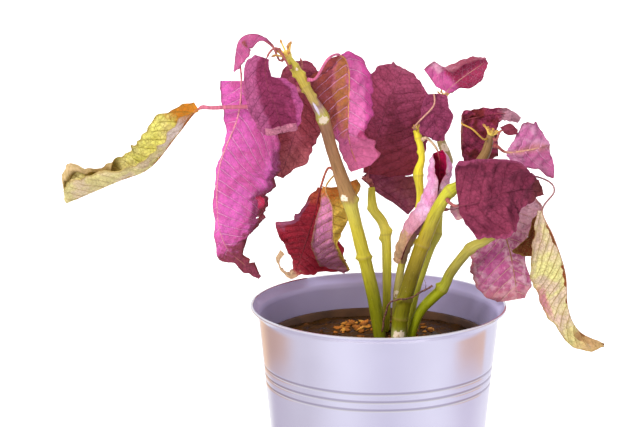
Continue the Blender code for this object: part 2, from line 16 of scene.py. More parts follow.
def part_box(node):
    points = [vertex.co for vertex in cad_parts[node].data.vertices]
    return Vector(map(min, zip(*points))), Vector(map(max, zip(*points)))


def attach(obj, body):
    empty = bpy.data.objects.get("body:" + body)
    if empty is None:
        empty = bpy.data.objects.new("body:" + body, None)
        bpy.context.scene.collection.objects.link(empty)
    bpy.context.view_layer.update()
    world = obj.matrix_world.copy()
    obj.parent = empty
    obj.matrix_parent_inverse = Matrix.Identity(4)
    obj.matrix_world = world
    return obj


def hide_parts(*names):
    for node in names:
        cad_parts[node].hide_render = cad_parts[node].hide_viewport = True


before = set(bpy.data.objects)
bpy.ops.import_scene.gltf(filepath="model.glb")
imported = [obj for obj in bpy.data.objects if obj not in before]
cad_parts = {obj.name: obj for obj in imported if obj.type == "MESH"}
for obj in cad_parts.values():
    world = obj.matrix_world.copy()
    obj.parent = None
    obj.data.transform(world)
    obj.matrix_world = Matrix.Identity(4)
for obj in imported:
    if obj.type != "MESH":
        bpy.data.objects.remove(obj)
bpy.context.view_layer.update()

# Without a seed the vector noise takes its offsets from the clock
NOISE_SEED = 7
noise.seed_set(NOISE_SEED)

MM = 0.001
RIM_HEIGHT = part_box("metal_pot")[1].z / MM
RIM_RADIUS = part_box("metal_pot")[1].x / MM
SOIL_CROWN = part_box("soil")[1].z / MM - RIM_HEIGHT
NURSERY_LIP_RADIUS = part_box("nursery_pot")[1].x / MM
NURSERY_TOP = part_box("nursery_pot")[1].z / MM - RIM_HEIGHT

# The same branches as in the solid model: x, y, height and radius
STEMS = {
    "stem_a": [
        (2, -2, -28, 3.5), (-3, -3, 5, 3.9), (-14, -4, 50, 3.8), (-18, -3, 64, 4.3), (-27, -2, 90, 3.5),
        (-33, 0, 110, 3.5), (-39, 0, 121, 2.5), (-46, 0, 133, 2.9), (-53, 0, 144, 2.0),
    ],
    "stem_b": [(4, 8, -30, 2.2), (5, 7, 5, 2.5), (4, 6, 42, 3.0), (-3, 4, 56, 2.8), (-4, 3, 69, 2.0)],
    "stem_c": [
        (10, 15, -30, 2.1), (11, 12, 0, 2.3), (15, 9, 28, 2.4), (20, 7, 38, 2.3), (24, 6, 62, 2.1),
        (23, 5, 77, 2.8), (25, 4, 87, 1.9), (22, 4, 103, 2.2),
    ],
    "stem_d": [
        (11, -6, -28, 4.3), (14, -6, 0, 4.6), (27, -8, 43, 4.1), (38, -8, 66, 3.6), (48, -7, 74, 3.1),
        (60, -2, 88, 2.9), (64, 0, 100, 2.2),
    ],
    "stem_e": [
        (19, 9, -29, 2.1), (21, 7, 0, 2.2), (30, 7, 30, 2.4), (34, 8, 40, 2.8), (36, 10, 60, 2.4),
        (40, 10, 83, 2.9), (36, 9, 98, 2.5), (38, 7, 122, 1.9),
    ],
    "stem_f": [
        (17, 0, -27, 2.6), (24, -2, -5, 2.9), (37, -3, 10, 3.2), (42, -3, 20, 3.0), (53, -3, 34, 3.1),
        (61, -2, 38, 2.6), (72, 3, 43, 2.0),
    ],
}
# How far each branch has bent away from the show side at LEAN_HEIGHT above the soil
LEANS = {"stem_a": -28, "stem_b": 50, "stem_c": 26, "stem_d": -18, "stem_e": 34, "stem_f": -50}
LEAN_HEIGHT = 160.0
LEAN_SINK = 0.233
LEAN_SPREAD = 0.00064
STEM_PIECES = 16  # between two given points of a stem


# Curves through points


def catmull_rom(a, b, c, d, t):
    return 0.5 * (
        2 * b + (c - a) * t + (2 * a - 5 * b + 4 * c - d) * t * t + (3 * b - a - 3 * c + d) * t * t * t
    )


def smooth(points, pieces):
    """Points along a smooth curve through the given vectors, with the index of each given vector."""
    ends = [2 * points[0] - points[1]] + points + [2 * points[-1] - points[-2]]
    made = []
    knots = []
    for i in range(len(points) - 1):
        knots.append(len(made))
        for step in range(pieces):
            made.append(catmull_rom(*ends[i : i + 4], step / pieces))
    knots.append(len(made))
    made.append(points[-1].copy())
    return made, knots


def lengths_along(points):
    total = [0.0]
    for a, b in zip(points, points[1:]):
        total.append(total[-1] + (b - a).to_3d().length)
    return total


def read_curve(points, total, places):
    """The points at the given lengths along a curve. The places go up."""
    made = []
    i = 0
    for place in places:
        while i < len(points) - 2 and total[i + 1] < place:
            i += 1
        share = (place - total[i]) / max(total[i + 1] - total[i], 1e-9)
        made.append(points[i].lerp(points[i + 1], min(max(share, 0.0), 1.0)))
    return made


def step_up(value, low, high):
    share = min(max((value - low) / (high - low), 0.0), 1.0)
    return share * share * (3 - 2 * share)


def graph_at(pairs, u):
    """The value at u of a smooth graph through (u, value) pairs."""
    if u <= pairs[0][0]:
        return pairs[0][1]
    for (u0, v0), (u1, v1) in zip(pairs, pairs[1:]):
        if u <= u1:
            return v0 + (v1 - v0) * step_up(u, u0, u1)
    return pairs[-1][1]


def tangents_of(points):
    ends = [points[0]] + points + [points[-1]]
    return [(after.to_3d() - before.to_3d()).normalized() for before, after in zip(ends, ends[2:])]


def faces_along(tangents, start, face):
    """A unit face vector at each point, turned along the route from the one given at the start index."""
    made = [None] * len(tangents)
    made[start] = (face - tangents[start] * face.dot(tangents[start])).normalized()
    for order in (range(start + 1, len(tangents)), range(start - 1, -1, -1)):
        last = start
        for i in order:
            turned = tangents[last].rotation_difference(tangents[i]) @ made[last]
            made[i] = (turned - tangents[i] * turned.dot(tangents[i])).normalized()
            last = i
    return made


def turns(count):
    """Evenly spaced angles round a circle, in radians."""
    return [2 * math.pi * k / count for k in range(count)]


def lean_at(stem, height):
    share = max(0.0, height - SOIL_CROWN) / LEAN_HEIGHT
    return LEANS[stem] * share * share


def leaned(point, lean):
    made = Vector(point)
    made.x *= 1 + lean * LEAN_SPREAD
    made.y += lean
    made.z -= lean * LEAN_SINK
    return made


def stem_curve(name):
    """The stem's centre line as it leans, and each point's place before it leaned."""
    upright, _ = smooth([Vector(point) for point in STEMS[name]], STEM_PIECES)
    return [leaned(point, lean_at(name, point.z)) for point in upright], upright


STEM_CURVES = {name: stem_curve(name) for name in STEMS}


# Meshes


def mesh_object(name, points, faces, materials):
    mesh = bpy.data.meshes.new(name)
    mesh.from_pydata(points, [], faces)
    for material in materials:
        mesh.materials.append(material)
    made = bpy.data.objects.new(name, mesh)
    bpy.context.scene.collection.objects.link(made)
    return made


class Build:
    """Points, faces with a material index, and named notes at the points, for one mesh object."""

    def __init__(self, *names):
        self.points, self.faces, self.slots, self.sharp = [], [], [], set()
        self.notes = {name: [] for name in names}

    def point(self, place, **notes):
        self.points.append(place)
        for name, kept in self.notes.items():
            kept.append(notes.get(name, 0.0))
        return len(self.points) - 1

    def face(self, corners, slot=0):
        self.faces.append(tuple(corners))
        self.slots.append(slot)

    def loft(self, rings, slots=repeat(0), turned=False):
        """Joins closed rings of points in turn and caps the ends. A ring may be a single point.

        Rings that run the other way round are marked as turned, so that their faces still look outwards.
        """
        for a, b, slot in zip(rings, rings[1:], slots):
            count = max(len(a), len(b))
            for k in range(count):
                after = k + 1
                corners = [a[k % len(a)], a[after % len(a)], b[after % len(b)], b[k % len(b)]]
                if turned:
                    corners[1:] = corners[:0:-1]
                self.face(dict.fromkeys(corners), slot)
        for cap in (rings[0][::-1], rings[-1]):
            if len(cap) > 1:
                self.face(cap[::-1] if turned else cap, slot)

    def tube(self, route, radii, sides, notes, slot=0, face=None):
        """A closed round tube, with the notes of each ring."""
        tangents = tangents_of(route)
        facing = faces_along(tangents, 0, face or tangents[0].orthogonal())
        rings = []
        for middle, tangent, front, radius, note in zip(route, tangents, facing, radii, notes):
            across = front.cross(tangent)
            ring = []
            for turn in turns(sides):
                out = front * math.cos(turn) + across * math.sin(turn)
                ring.append(self.point(middle.to_3d() + out * radius, **note))
            rings.append(ring)
        self.loft(rings, repeat(slot))

    def make(self, name, materials, node=None):
        """The mesh object. It rides on the pot's body and stands for the solid of that name."""
        lift = Vector((0, 0, RIM_HEIGHT))
        made = mesh_object(name, [(point + lift) * MM for point in self.points], self.faces, materials)
        mesh = made.data
        mesh.polygons.foreach_set("material_index", self.slots)
        mesh.shade_smooth()
        for key, kept in self.notes.items():
            if isinstance(kept[0], tuple):
                flat = [number for triple in kept for number in triple]
                mesh.attributes.new(key, "FLOAT_VECTOR", "POINT").data.foreach_set("vector", flat)
            else:
                mesh.attributes.new(key, "FLOAT", "POINT").data.foreach_set("value", kept)
        if self.sharp:
            sharp = [tuple(sorted(edge.vertices)) in self.sharp for edge in mesh.edges]
            mesh.attributes.new("sharp_edge", "BOOLEAN", "EDGE").data.foreach_set("value", sharp)
        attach(made, "root")
        if node:
            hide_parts(node)
        return made


# Node graphs


class Graph:
    """A material's node tree, written as sums of functions."""

    def __init__(self, name):
        self.material = bpy.data.materials.new(name)
        self.material.use_nodes = True
        self.tree = self.material.node_tree
        self.shader = self.tree.nodes["Principled BSDF"]

    def plug(self, socket, value):
        if isinstance(value, bpy.types.NodeSocket):
            self.tree.links.new(value, socket)
        elif isinstance(value, tuple) and socket.type == "RGBA":
            socket.default_value = (*value, 1.0)
        else:
            socket.default_value = value

    def node(self, kind, output, inputs, **settings):
        """An output of a new node with these inputs and settings."""
        made = self.tree.nodes.new("ShaderNode" + kind)
        for key, value in settings.items():
            setattr(made, key, value)
        for key, value in inputs.items():
            self.plug(made.inputs[key], value)
        return made.outputs[output]

    def attribute(self, name, output="Fac"):
        return self.node("Attribute", output, {}, attribute_name=name)

    def place(self):
        return self.node("TexCoord", "Object", {})

    def math(self, operation, *values):
        return self.node("Math", 0, dict(enumerate(values)), operation=operation)

    def times(self, a, b):
        return self.math("MULTIPLY", a, b)

    def plus(self, a, b):
        return self.math("ADD", a, b)

    def shaken(self, value, by, amount):
        """The value, moved up and down by a noise that is about a half on average."""
        return self.plus(value, self.times(self.plus(by, -0.5), amount))

    def rise(self, value, low, high, top=1.0):
        """0 below low, top above high, and smooth between."""
        inputs = {"Value": value, "From Min": low, "From Max": high, "To Max": top}
        return self.node("MapRange", "Result", inputs, interpolation_type="SMOOTHSTEP")

    def scaled(self, vector, scale):
        return self.node("VectorMath", 0, {0: vector, 1: scale}, operation="MULTIPLY")

    def noise(self, vector, scale, detail=2.0, roughness=0.5, distortion=0.0, output="Fac"):
        inputs = {
            "Vector": vector, "Scale": scale, "Detail": detail, "Roughness": roughness,
            "Distortion": distortion,
        }
        return self.node("TexNoise", output, inputs)

    def cells(self, vector, scale, feature):
        return self.node("TexVoronoi", "Distance", {"Vector": vector, "Scale": scale}, feature=feature)

    def mix(self, factor, a, b, blend="MIX"):
        return self.node("Mix", 2, {0: factor, 6: a, 7: b}, data_type="RGBA", blend_type=blend)

    def ramp(self, factor, stops, interpolation="EASE"):
        made = self.tree.nodes.new("ShaderNodeValToRGB")
        made.color_ramp.interpolation = interpolation
        elements = made.color_ramp.elements
        while len(elements) < len(stops):
            elements.new(0.5)
        for element, (place, colour) in zip(elements, stops):
            element.position = place
            element.color = (*colour, 1.0)
        self.plug(made.inputs["Fac"], factor)
        return made.outputs["Color"]

    def bump(self, height, strength, distance):
        inputs = {"Height": height, "Strength": strength, "Distance": distance}
        return self.node("Bump", "Normal", inputs)

    def finish(self, kind, inputs):
        """Shows the shader output of a new node as the surface."""
        self.plug(self.tree.nodes["Material Output"].inputs["Surface"], self.node(kind, 0, inputs))
        return self.material

    def surface(self, colour, roughness, normal=None, **settings):
        inputs = {"Base Color": colour, "Roughness": roughness}
        if normal is not None:
            inputs["Normal"] = normal
        inputs.update((key.replace("_", " "), value) for key, value in settings.items())
        for key, value in inputs.items():
            self.plug(self.shader.inputs[key], value)
        return self.material


# Leaf materials. Each look starts from these and names only what differs.
BLADE_LOOK = dict(
    tissue=(0.60, 0.13, 0.36), left=None,  # left is the tissue colour of the left half, if it differs
    patch=(0.42, 0.08, 0.22), patch_size=1.6,  # in centimetres
    vein=(0.80, 0.42, 0.60), vein_strength=0.6, net=(0.75, 0.35, 0.50), net_strength=0.25,
    beside_rib=None, base=None, base_to=(0.02, 0.15), tip=None, tip_from=(0.8, 1.0),
    margin=(0.16, 0.03, 0.02), margin_strength=0.7, dry=(0.30, 0.12, 0.04), dry_edge=(0.72, 0.80),
    mottle=0.35, roughness=0.55, translucency=0.22,
    zones=[],  # (across from, to, along from, to, softness, colour, strength)
)
# Ends of a zone that runs off the blade, past its margin or tip and before its base
EDGE = 1.2
BASE = -0.1
PATCH_EDGE = (0.42, 0.62)
VEIN_WIDTH = 0.10
MARGIN_FROM = 0.88


def blade_material(name, look):
    """Dried leaf tissue with its side veins, fine net, mottling, browned margin and dead patches."""
    look = SimpleNamespace(**look)
    g = Graph(name)
    along, side, phase = (g.attribute(key) for key in ("along", "across", "phase"))
    flat = g.attribute("flat", "Vector")
    edge = g.math("ABSOLUTE", side)
    coarse = g.noise(flat, 1.0 / look.patch_size, 3.0, 0.55, 0.4)
    medium = g.noise(flat, 3.2, 4.0, 0.62)
    fine = g.noise(flat, 16.0, 3.0, 0.6)
    colour = look.tissue
    if look.left:
        colour = g.mix(g.rise(side, 0.02, -0.02), colour, look.left)
    colour = g.mix(g.rise(coarse, *PATCH_EDGE), colour, look.patch)
    if look.base:
        low, high = look.base_to
        colour = g.mix(g.rise(g.shaken(along, medium, 0.12), high, low), colour, look.base)
    if look.beside_rib:
        near = g.rise(g.shaken(edge, medium, 0.2), 0.30, 0.03)
        colour = g.mix(g.times(near, 0.8), colour, look.beside_rib)
    for low, high, start, end, soft, tint, strength in look.zones:
        here = g.shaken(side, medium, soft * 3)
        there = g.shaken(along, medium, soft * 2)
        inside = g.times(g.rise(here, low - soft, low + soft), g.rise(here, high + soft, high - soft))
        inside = g.times(inside, g.rise(there, start - soft, start + soft))
        inside = g.times(inside, g.rise(there, end + soft, end - soft))
        colour = g.mix(g.times(inside, strength), colour, tint)

    # fine net of veins: the edges of small cells, wandering a little
    shake = g.noise(flat, 5.0, output="Color")
    inputs = {0: shake, 1: (0.16, 0.16, 0.0), 2: flat}
    wander = g.node("VectorMath", 0, inputs, operation="MULTIPLY_ADD")
    net = g.rise(g.cells(wander, 4.6, "DISTANCE_TO_EDGE"), 0.09, 0.0)
    colour = g.mix(g.times(net, look.net_strength), colour, look.net)

    # side veins run where the phase is a whole number, and thin out towards the margin
    wave = g.shaken(phase, g.noise(flat, 1.4), 0.22)
    apart = g.math("ABSOLUTE", g.plus(g.math("FRACT", g.plus(wave, 0.5)), -0.5))
    width = g.plus(g.times(edge, -0.6 * VEIN_WIDTH), VEIN_WIDTH)
    far = g.math("DIVIDE", apart, width)
    vein = g.times(g.rise(far, 1.0, 0.25), g.rise(edge, 0.99, 0.7))
    shade = g.times(g.rise(far, 2.6, 1.0), 0.18 * look.vein_strength)
    colour = g.mix(shade, colour, look.patch, "MULTIPLY")
    colour = g.mix(g.times(vein, look.vein_strength), colour, look.vein)
    if look.tip:
        ending = g.rise(g.shaken(along, medium, 0.25), *look.tip_from)
        colour = g.mix(g.times(ending, 0.9), colour, look.tip)

    grain = g.plus(g.times(medium, 0.65), g.times(fine, 0.35))
    tone = g.ramp(grain, [(0.28, (0.45, 0.42, 0.45)), (0.5, (1, 1, 1)), (0.75, (1.35, 1.30, 1.32))])
    colour = g.mix(look.mottle * 1.6, colour, tone, "MULTIPLY")
    decay = g.plus(g.times(coarse, 0.35), g.times(g.noise(flat, 2.1, 5.0, 0.65), 0.65))
    colour = g.mix(g.rise(decay, *look.dry_edge), colour, look.dry)
    browned = g.rise(g.shaken(edge, medium, 0.28), MARGIN_FROM, 1.0)
    colour = g.mix(g.times(browned, look.margin_strength), colour, look.margin)

    height = g.plus(g.times(medium, 0.7), g.times(fine, 0.3))
    height = g.plus(g.plus(height, g.times(net, -0.35)), g.times(vein, -0.5))
    normal = g.bump(height, 0.9, 0.0007)
    rough = g.plus(g.times(fine, 0.2), look.roughness - 0.1)
    g.surface(colour, rough, normal, Specular_IOR_Level=0.12)
    through = g.node("BsdfTranslucent", 0, {"Color": colour, "Normal": normal})
    return g.finish("MixShader", {0: look.translucency, 1: g.shader.outputs[0], 2: through})


def rib_material(name, stalk, rib, tip):
    """A dried stalk that runs on as the midrib."""
    g = Graph(name)
    flat = g.attribute("flat", "Vector")
    shaken = g.shaken(g.attribute("along"), g.noise(flat, 4.0, 3.0), 0.2)
    share = g.math("MULTIPLY_ADD", shaken, 0.5, 0.5)
    colour = g.ramp(share, [(0.40, stalk), (0.55, rib), (0.80, rib), (1.0, tip)])
    grain = g.noise(g.scaled(flat, (1.0, 5.0, 5.0)), 6.0, 4.0, 0.6)
    tone = g.ramp(grain, [(0.3, (0.55, 0.5, 0.48)), (0.7, (1.25, 1.2, 1.15))])
    colour = g.mix(0.7, colour, tone, "MULTIPLY")
    return g.surface(colour, 0.5, g.bump(grain, 0.5, 0.0004), Specular_IOR_Level=0.15)


# Leaf shapes. Each leaf starts from these and names only what differs.
FLAT = [(0, 0)]
DARK_RIB = ((0.34, 0.1, 0.1), (0.20, 0.035, 0.07), (0.14, 0.025, 0.04))
LEAF_SHAPE = dict(
    face=(0, -1, 0), left_fold=FLAT, right_fold=FLAT, left_curl=FLAT, right_curl=FLAT, slant=0.55, pleat=0.7,
    crease=0.8, crease_size=13.0, ripple=1.6, ripple_size=11.0, fray=0.05, edge_curl=18.0, stalk_width=1.2,
    rib=DARK_RIB, rib_share=0.5, follows_stem=False,
    folds=(),  # (side, share of the half width, fold angles along the leaf)
    notches=(),  # (side, share of the midrib, reach, depth)
    holes=(),  # (share of the midrib, share of the width, radius)
)
BARK_GAP = 0.9  # from a stem's bark to the middle of a leaf stalk where they join
BLADE_THICKNESS = 0.3
CELL = 1.15  # size of a blade's mesh cells
STALK_CELL = 1.8
MIDRIB_PIECES = 14  # between two given points of a stalk or midrib
VEIN_SPACING = 6.5
VEIN_SWEEP = 0.012
QUILT = 0.3
RIB_SIDES = 8
RIB_END = 0.94  # the share of the blade's length where its midrib ends
THINNEST_RIB = 0.22
JOINT_LENGTH = 4.0  # of the swelling where a stalk leaves its stem


def vein_phase(blade, along, across):
    """Side veins leave the midrib at whole numbers and run out at a slant, bending towards the tip."""
    out = abs(across)
    run = blade.slant * out + VEIN_SWEEP * out * out
    return (along - run) / VEIN_SPACING + (0.0 if across > 0 else 0.45)


def relief(blade, along, across, share, phase):
    """How far the blade stands off its smooth surface: pleats between veins, quilting, creases, ripples."""
    local = abs(phase - round(phase))
    height = blade.pleat * (math.sin(math.pi * local) - 0.5) * min(share / 0.3, 1.0)
    height += QUILT * noise.noise(Vector((along, across, blade.seed * 17.0)) * 0.42)
    bent = Vector((along / blade.crease_size, across / blade.crease_size, blade.seed * 3.7))
    bent += noise.noise_vector(bent * 0.7) * 0.35
    for place, amount in ((bent, 1.0), (bent * 2.3 + Vector((9.0, 4.0, 2.0)), 0.4)):
        crease = 1.0 - abs(noise.noise(place)) * 2.2
        height += blade.crease * amount * (crease * abs(crease) - 0.35)
    wave = noise.noise(Vector((along / blade.ripple_size, 5.0 if across > 0 else 9.0, blade.seed)))
    height += blade.ripple * wave * share ** 3 * 2.0
    return height * min(along / 4.0 + 0.15, 1.0)


def ragged(blade, u, side):
    """A factor on the half width that roughens the outline and cuts notches."""
    seed = blade.seed + (31.0 if side > 0 else 57.0)
    along = u * blade.length
    fray = noise.noise(Vector((along / 7.0, seed, 1.0))) + 0.6 * noise.noise(Vector((along / 2.6, seed, 4.0)))
    factor = 1.0 + blade.fray * fray
    for notch_side, middle, reach, depth in blade.notches:
        if notch_side == side:
            factor *= 1.0 - depth * max(0.0, 1.0 - abs(u - middle) / reach)
    return factor


def in_hole(blade, along, across):
    rough = 1.0 + 0.5 * noise.noise(Vector((along / 2.5, across / 2.5, blade.seed * 5.0)))
    return any(
        math.hypot(along - u * blade.length, across - share * blade.widest) < radius * rough
        for u, share, radius in blade.holes
    )


def half_row(blade, u, side, widths, folds, curls, middle, front, across_way, columns):
    """Half of the row at u, from the midrib out: (place, share, phase, along, across) of each point."""
    step = max(0.4, graph_at(widths, u) * ragged(blade, u, side)) / columns
    fold, curl = graph_at(folds, u), graph_at(curls, u)
    bends = [(where, graph_at(angles, u)) for fold_side, where, angles in blade.folds if fold_side == side]
    along = u * blade.length
    edge_curl = noise.noise(Vector((along / 16.0, side * 8.0, blade.seed))) * 1.6 + 0.35
    edge_curl *= blade.edge_curl
    place = middle.copy()
    row = []
    for k in range(1, columns + 1):
        share = k / columns
        angle = fold + curl * (share - 0.5 / columns) + edge_curl * step_up(share, 0.65, 1.0)
        angle += sum(bend * step_up(share, where - 0.06, where + 0.06) for where, bend in bends)
        sine, cosine = math.sin(math.radians(angle)), math.cos(math.radians(angle))
        place = place + (across_way * (side * cosine) + front * sine) * step
        across = side * k * step
        phase = vein_phase(blade, along, across)
        up = front * cosine - across_way * (side * sine)
        lifted = place + up * relief(blade, along, across, share, phase)
        row.append((lifted, share * side, phase, along, across))
    return row


def leaf(name, stem, stalk, midrib, right, left, look, back=None, **shape):
    """One leaf: a thin blade on both sides of a midrib, and the stalk that carries it.

    The halves are given by (share of the midrib, value) pairs: widths, fold angles towards the face, and
    curl, the further turn of the half on its way to the margin. Right is as seen facing the blade with
    its tip down.
    """
    blade = SimpleNamespace(**{**LEAF_SHAPE, **shape})
    blade.seed = sum(ord(letter) for letter in name) % 97 + 0.37
    blade.widest = max(value for _, value in left + right)
    joint = stalk[0][2]
    route = []
    for point in stalk + midrib:
        follows = blade.follows_stem and point[2] < joint
        route.append(leaned(point, lean_at(stem, point[2] if follows else joint)))
    nearest = min(STEM_CURVES[stem][0], key=lambda point: (point.to_3d() - route[0]).length)
    away = (route[0] - nearest.to_3d()).normalized()
    route.insert(0, nearest.to_3d() + away * (nearest.w + BARK_GAP))
    curve, knots = smooth(route, MIDRIB_PIECES)
    total = lengths_along(curve)
    start = total[knots[len(stalk) + 1]]
    blade.length = total[-1] - start

    rows = max(14, round(blade.length / CELL))
    stalk_rows = max(3, round(start / STALK_CELL))
    columns = max(6, round(blade.widest / CELL))
    places = [start * i / stalk_rows for i in range(stalk_rows)]
    places += [start + blade.length * i / rows for i in range(rows + 1)]
    points = read_curve(curve, total, places)
    tangents = tangents_of(points)
    facing = faces_along(tangents, stalk_rows + rows // 10, Vector(blade.face))
    surface = []
    for i in range(rows + 1):
        u = i / rows
        middle, front = points[stalk_rows + i], facing[stalk_rows + i]
        here = (middle, front, front.cross(tangents[stalk_rows + i]), columns)
        row = half_row(blade, u, -1, left, blade.left_fold, blade.left_curl, *here)[::-1]
        row.append((middle, 0.0, vein_phase(blade, u * blade.length, 1e-6), u * blade.length, 0.0))
        row += half_row(blade, u, 1, right, blade.right_fold, blade.right_curl, *here)
        surface.append(row)

    made = Build("along", "across", "phase", "flat")
    wide = 2 * columns + 1
    layers = ([], [])
    for i, row in enumerate(surface):
        for j, (place, share, phase, along, across) in enumerate(row):
            down = surface[min(i + 1, rows)][j][0] - surface[max(i - 1, 0)][j][0]
            normal = down.cross(row[min(j + 1, wide - 1)][0] - row[max(j - 1, 0)][0])
            normal = normal.normalized() if normal.length > 1e-9 else Vector((0, 0, 1))
            flat = (along / 10, across / 10, blade.seed)
            notes = dict(along=i / rows, across=share, phase=phase, flat=flat)
            for layer, offset in zip(layers, (normal, -normal)):
                layer.append(made.point(place + offset * (BLADE_THICKNESS / 2), **notes))
    rims = {}
    for i in range(rows):
        for j in range(wide - 1):
            if in_hole(blade, *surface[i][j][3:]):
                continue
            a = i * wide + j
            corners = (a, a + wide, a + wide + 1, a + 1)
            made.face([layers[0][k] for k in corners], 0)
            made.face([layers[1][k] for k in corners[::-1]], 1)
            for edge in zip(corners, corners[1:] + corners[:1]):
                if rims.pop(edge[::-1], None) is None:
                    rims[edge] = True
    for a, b in rims:
        made.face((layers[0][b], layers[0][a], layers[1][a], layers[1][b]), 0)
        made.sharp.update(tuple(sorted((layer[a], layer[b]))) for layer in layers)

    thick = blade.stalk_width / 2
    rib_end = stalk_rows + round(rows * RIB_END) + 1
    radii = []
    notes = []
    for place in places[:rib_end]:
        u = (place - start) / blade.length
        if u < 0:
            swell = 1.0 + 0.7 * (1.0 - step_up(place, 0.0, JOINT_LENGTH))
            radii.append(thick * swell * (1 + 0.12 * noise.noise(Vector((place / 4, 3, blade.seed)))))
        else:
            radii.append(max(THINNEST_RIB, thick * blade.rib_share * (1 - u) ** 0.7))
        notes.append(dict(along=u if u >= 0 else -min(1.0, (start - place) / 12.0), flat=(place / 10, 0, 1)))
    made.tube(points[:rib_end], radii, RIB_SIDES, notes, 2, facing[0])

    look = {**BLADE_LOOK, **look}
    materials = [
        blade_material(name + "_face", look),
        blade_material(name + "_back", {**look, **(back or {})}),
        rib_material(name + "_rib", *blade.rib),
    ]
    made.make(name + "_leaf", materials, name)


MAGENTA = dict(
    tissue=(0.68, 0.125, 0.46), patch=(0.55, 0.085, 0.3), vein=(0.8, 0.36, 0.6), margin=(0.2, 0.03, 0.05),
    dry=(0.3, 0.05, 0.06), dry_edge=(0.7, 0.78),
)
PURPLE = dict(
    tissue=(0.23, 0.034, 0.09), patch=(0.35, 0.058, 0.15), vein=(0.12, 0.016, 0.03), vein_strength=0.16,
    net=(0.1, 0.012, 0.03), net_strength=0.3, margin=(0.36, 0.07, 0.17), margin_strength=0.45,
    dry=(0.1, 0.016, 0.03), dry_edge=(0.6, 0.72), mottle=0.5, translucency=0.12, roughness=0.6,
    patch_size=1.2,
)
MAROON = dict(
    PURPLE, tissue=(0.18, 0.026, 0.045), patch=(0.27, 0.045, 0.08), margin=(0.22, 0.04, 0.06),
)
CRIMSON = dict(
    PURPLE, tissue=(0.24, 0.018, 0.036), patch=(0.18, 0.012, 0.026), margin=(0.34, 0.06, 0.09),
    vein=(0.13, 0.008, 0.016), translucency=0.2,
)
PALE = dict(
    tissue=(0.74, 0.42, 0.52), patch=(0.62, 0.2, 0.38), vein=(0.62, 0.34, 0.28), margin=(0.4, 0.14, 0.12),
    dry=(0.45, 0.22, 0.12),
)
YELLOW = dict(
    tissue=(0.66, 0.6, 0.15), patch=(0.7, 0.56, 0.26), vein=(0.36, 0.25, 0.04), vein_strength=0.5,
    net=(0.42, 0.32, 0.08), net_strength=0.4, margin=(0.35, 0.2, 0.05), margin_strength=0.6,
    dry=(0.4, 0.22, 0.06), mottle=0.3,
)

leaf(
    "bract_far_left", "stem_a", stalk=[(-60, -7, 119), (-94, -13, 118)],
    midrib=[(-104, -12, 117), (-116, -14, 103), (-132, -15, 84), (-151, -16, 76), (-180, -14, 63)],
    face=(0, -0.3, 1),
    right=[(0, 3), (0.16, 14), (0.35, 15), (0.55, 15), (0.75, 16), (0.88, 17), (0.95, 13), (1, 3)],
    left=[
        (0, 5), (0.05, 9), (0.2, 16), (0.45, 17), (0.58, 13), (0.7, 19), (0.8, 23), (0.88, 35), (0.95, 27),
        (1, 5),
    ],
    right_fold=[(0, 20), (0.1, 50), (0.6, 58), (0.75, 72), (1, 78)],
    left_fold=[(0, 30), (0.1, 60), (0.75, 62), (1, 40)], left_curl=[(0, 10), (0.5, 12), (0.66, 0)],
    folds=[(-1, share, [(0.6, 0), (0.7, 80), (1, 85)]) for share in (0.62, 0.74, 0.86)],
    look=dict(
        YELLOW, tissue=(0.78, 0.74, 0.2), patch=(0.76, 0.66, 0.28), base=(0.6, 0.22, 0.02),
        base_to=(0.1, 0.17), zones=[(-EDGE, -0.35, 0.62, 0.82, 0.04, (0.3, 0.15, 0.04), 0.9)],
    ),
    back=dict(
        tissue=(0.7, 0.62, 0.27), patch=(0.7, 0.56, 0.36), vein=(0.46, 0.27, 0.12),
        zones=[
            (0.1, EDGE, 0.1, 0.28, 0.05, (0.8, 0.66, 0.64), 0.9),
            (-EDGE, -0.35, 0.64, 0.82, 0.05, (0.3, 0.16, 0.05), 0.9),
            (-EDGE, -0.42, 0.78, EDGE, 0.05, (0.62, 0.44, 0.22), 0.9),
        ],
    ),
    rib=((0.48, 0.13, 0.2), (0.4, 0.14, 0.05), (0.4, 0.24, 0.1)), pleat=0.35, ripple=1.6, ripple_size=6.0,
    fray=0.12, stalk_width=2.4, edge_curl=25.0,
)
